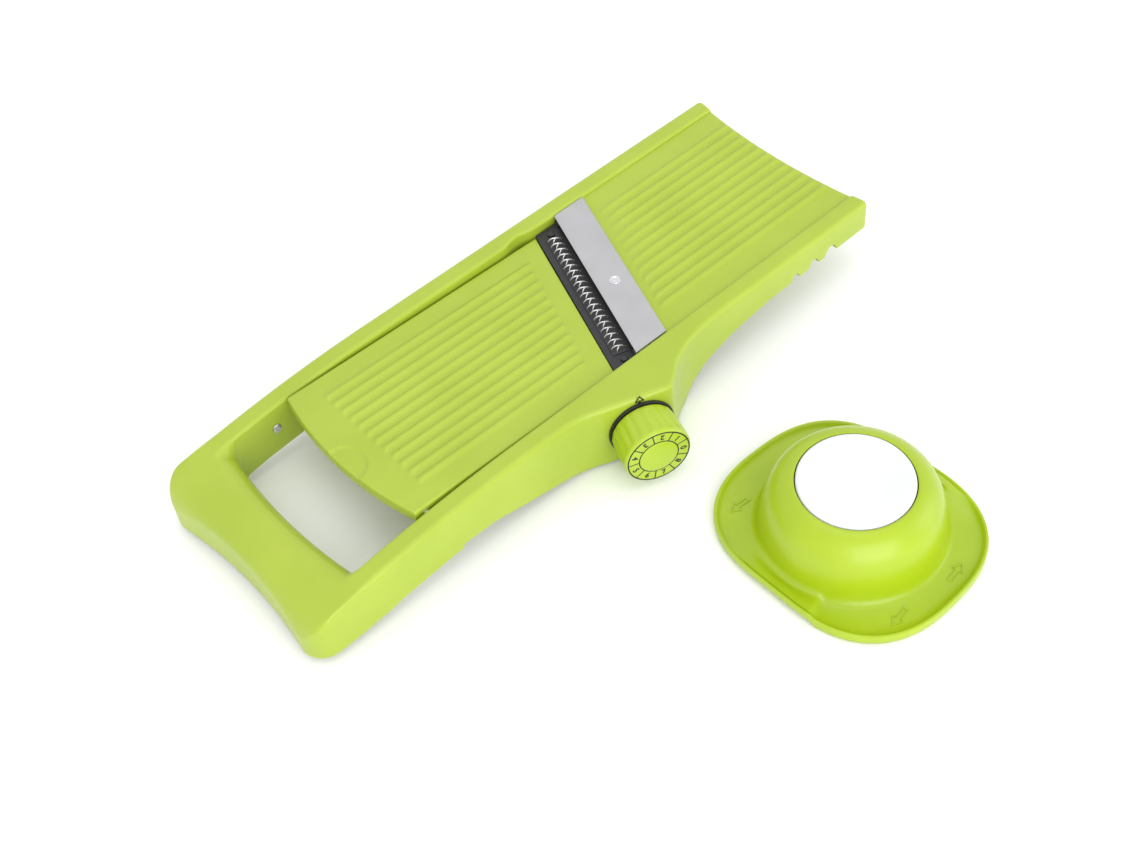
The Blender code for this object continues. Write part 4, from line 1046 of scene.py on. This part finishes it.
@dataclass
class Guard:
    """The hand guard: a brim that is round at its ends and banked at its sides, with a dome."""

    ends: float = 61.0
    sides: float = 54.5
    power: float = 2.6
    offset: float = 2.0
    ledge: float = 205.0
    steps: int = 192
    cap: float = 27.2
    cap_foot: float = 26.6
    top: float = 37.0
    spring_radius: float = 11.6
    spring_wire: float = 0.7
    spring_turns: float = 4.5
    spring_keep: float = 0.41

    def brim_radius(self, angle: float) -> float:
        """Radius of the brim in one direction."""
        across = abs(math.cos(angle) / self.sides) ** self.power
        along = abs(math.sin(angle) / self.ends) ** self.power
        waist = 1.0 - 0.045 * math.cos(angle) ** 8
        return waist * (across + along) ** (-1.0 / self.power) - self.offset * math.cos(angle)

    def bank(self, angle: float) -> float:
        """How strongly the brim is banked up in one direction: 1 at the sides, 0 at the ends."""
        turned = math.degrees(angle) % 180.0 + 180.0
        if turned > self.ledge + 90.0:
            return smooth_step((turned - 312.0) / 36.0)
        return smooth_step((self.ledge - turned) / 3.0)

    def profile(self, angle: float) -> list[Flat]:
        """Outline of the skin in one direction, from the brim's foot over the dome and inside."""
        edge, bank = self.brim_radius(angle), self.bank(angle)
        points = [(edge * share, low + rise * bank) for share, low, rise in BRIM]
        points.append((0.5 * (edge * 0.9 + DOME_FOOT[0][0]), 2.9 + 3.6 * bank))
        points += [(radius, low + rise * bank) for radius, low, rise in DOME_FOOT]
        return points + DOME + [(45.6, 1.0 + 1.2 * bank)]

    def brim_height(self, radius: float, angle: float) -> float:
        """Height of the brim's upper face at a radius."""
        return read_line(sorted(self.profile(angle)[BRIM_TOP]), radius)

    def build_shell(self, finishes: Finishes) -> None:
        """Make the brim and dome in one skin."""
        rows: Rows = []
        for step in range(self.steps):
            angle = TURN * step / self.steps
            cos, sin = math.cos(angle), math.sin(angle)
            rows.append([(r * cos, r * sin, z) for r, z in self.profile(angle)])
        draft = Draft()
        draft.rows(rows, True, True)
        draft.move(LAYOUT.guard_matrix())
        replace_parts(draft.piece("guard_dome", "lime_guard", finishes, "guard", 50.0), "guard_shell")

    def build_arrows(self, finishes: Finishes) -> None:
        """Make the outlined arrows moulded on the brim's round ends."""
        outline = [(-6.0, -1.1), (1.2, -1.1), (1.2, -2.9), (6.0, 0.0)]
        outline += [(1.2, 2.9), (1.2, 1.1), (-6.0, 1.1)]
        draft = Draft()
        spots = ((-28.2, 44.6, 176.0), (12.6, -50.8, 8.0), (-23.6, -48.6, 188.0))
        for middle_x, middle_y, heading in spots:
            cos, sin = math.cos(math.radians(heading)), math.sin(math.radians(heading))
            loops: Rows = []
            for scale, lift in ((1.05, -0.4), (1.0, 0.42), (0.84, 0.42), (0.79, -0.4)):
                loop: list[Point] = []
                for along, across in outline:
                    x = middle_x + (along * cos - across * sin) * scale
                    y = middle_y + (along * sin + across * cos) * scale
                    height = self.brim_height(math.hypot(x, y), math.atan2(y, x))
                    loop.append((x, y, height + lift))
                loops.append(loop)
            draft.rows(loops, True, True)
        draft.move(LAYOUT.guard_matrix())
        draft.piece("brim_arrows", "lime_guard", finishes, "guard")

    def build_cap(self, finishes: Finishes) -> None:
        """Make the dished white push button."""
        top, edge = self.top, self.cap
        foot, wall = self.cap_foot, edge - 2.0
        outside = [(edge - 0.4, foot), (edge, 27.0), (edge, top - 1.5), (edge - 0.12, top - 0.9)]
        outside += [(edge - 0.45, top - 0.4), (edge - 1.0, top - 0.12), (edge - 1.8, top - 0.1)]
        outside += [(22.0, top - 0.35), (16.0, top - 0.75), (10.0, top - 1.15)]
        outside += [(4.0, top - 1.38), (0.8, top - 1.42)]
        under = [(0.8, top - 3.8), (12.0, top - 3.6), (edge - 2.4, top - 3.4)]
        under += [(wall, top - 4.0), (wall, foot)]
        draft = Draft()
        draft.turned(outside + under, 144)
        plug = Draft()
        plug.turned([(1.2, top - 3.9), (1.2, top - 1.6), (0.9, top - 1.44)], 24, False)
        draft.take(plug)
        draft.move(LAYOUT.guard_matrix())
        button = draft.piece("push_button", "white_gloss", finishes, "plunger", 60.0)
        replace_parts(button, "plunger_cap")

    def build_spring(self, finishes: Finishes) -> None:
        """Make the return spring, coiled between the ends of the CAD spring's box."""
        low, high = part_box("plunger_spring")
        centre = (low + high) / 2.0 / MM - Vector(LAYOUT.slicer)
        wire = self.spring_wire
        foot, head = low.z / MM + wire, high.z / MM - wire
        steps = int(self.spring_turns * COIL_STEPS)
        rows: Rows = []
        for step in range(steps + 1):
            angle = TURN * step / COIL_STEPS
            share = (step / COIL_STEPS - 0.8) / (self.spring_turns - 1.6)
            middle = foot + (head - foot) * min(max(share, 0.0), 1.0)
            ring: list[Point] = []
            for side in range(WIRE_SIDES):
                turn = TURN * side / WIRE_SIDES
                reach = self.spring_radius + wire * math.cos(turn)
                x, y = centre.x + reach * math.cos(angle), centre.y + reach * math.sin(angle)
                ring.append((x, y, middle + wire * math.sin(turn)))
            rows.append(ring)
        draft = Draft()
        draft.capped(rows)
        coil = draft.piece("return_spring", "turned_steel", finishes, "guard", 60.0)
        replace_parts(coil, "plunger_spring")
        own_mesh(coil)

    def build(self, finishes: Finishes) -> None:
        """Make the guard and dress what is inside it."""
        self.build_shell(finishes)
        self.build_arrows(finishes)
        self.build_cap(finishes)
        self.build_spring(finishes)
        finishes.dress("lime_guard", "spring_seat")
        finishes.dress("white_gloss", "plunger_stem")
        finishes.dress("turned_steel", "spike_plate", "stem_screw")


@dataclass
class Studio:
    """The pale floor, the soft lights and the camera."""

    azimuth: float = -37.229
    elevation: float = 49.766
    roll: float = -6.609
    lens: float = 50.53
    camera_at: Point = (-0.3198, -0.3584, 0.6089)
    floor: float = 3.0

    def build_floor(self) -> None:
        """Lay a wide pale sheet that the part stands on."""
        bm = bmesh.new()
        bmesh.ops.create_grid(bm, x_segments=8, y_segments=8, size=self.floor)
        mesh = bpy.data.meshes.new("floor")
        bm.to_mesh(mesh)
        bm.free()
        paper = Nodes("paper")
        paper.tint(paper.noise(EVEN, 3.0, 2.0), (0.90, 0.90, 0.90), (0.93, 0.93, 0.93), 0.3, 0.7)
        paper.gloss(paper.noise(EVEN, 40.0, 2.0), 0.85, 0.95)
        mesh.materials.append(paper.material)
        sheet = bpy.data.objects.new("floor", mesh)
        sheet.location = (0.0, 0.0, -0.0002)
        bpy.context.collection.objects.link(sheet)

    def light(self, name: str, place: Point, size: float, power: float) -> None:
        """Hang a soft square light that faces the part."""
        lamp = bpy.data.lights.new(name, "AREA")
        lamp.size = size
        lamp.energy = power
        made = bpy.data.objects.new(name, lamp)
        made.location = place
        made.rotation_mode = "QUATERNION"
        made.rotation_quaternion = (-Vector(place)).to_track_quat("-Z", "Y")
        bpy.context.collection.objects.link(made)

    def build(self) -> None:
        """Set the floor, the lights and the camera."""
        self.build_floor()
        world = bpy.data.worlds.new("room")
        world.use_nodes = True
        put(world.node_tree.nodes["Background"], Color=(*EVEN, 1.0), Strength=1.1)
        bpy.context.scene.world = world
        self.light("overhead", (0.1, 0.1, 1.5), 1.0, 3.0)
        self.light("front", (-0.55, -1.35, 0.6), 1.4, 17.0)
        self.light("right", (1.2, -1.0, 0.5), 0.9, 4.0)
        bpy.context.scene.view_settings.view_transform = "Standard"
        camera = bpy.data.cameras.new("camera")
        camera.lens = self.lens
        camera.sensor_width = 36.0
        camera.clip_start = 0.01
        made = bpy.data.objects.new("camera", camera)
        a, e, r = (math.radians(value) for value in (self.azimuth, self.elevation, self.roll))
        back = Vector((math.sin(a) * math.cos(e), -math.cos(a) * math.cos(e), math.sin(e)))
        level = Vector((math.cos(a), math.sin(a), 0.0))
        rise = back.cross(level)
        right = level * math.cos(r) + rise * math.sin(r)
        up = rise * math.cos(r) - level * math.sin(r)
        turned = Matrix((right, up, back)).transposed().to_4x4()
        made.matrix_world = Matrix.Translation(self.camera_at) @ turned
        bpy.context.collection.objects.link(made)
        bpy.context.scene.camera = made


def main() -> None:
    """Build every sub-assembly in order."""
    logging.basicConfig(level=logging.INFO, format="%(name)s %(message)s")
    finishes = Finishes()
    finishes.build()
    Body().build(finishes)
    Ramp().build(finishes)
    Blade().build(finishes)
    Comb().build(finishes)
    Dial().build(finishes)
    Guard().build(finishes)
    Studio().build()
    bpy.context.view_layer.update()


if __name__ == "__main__":
    main()
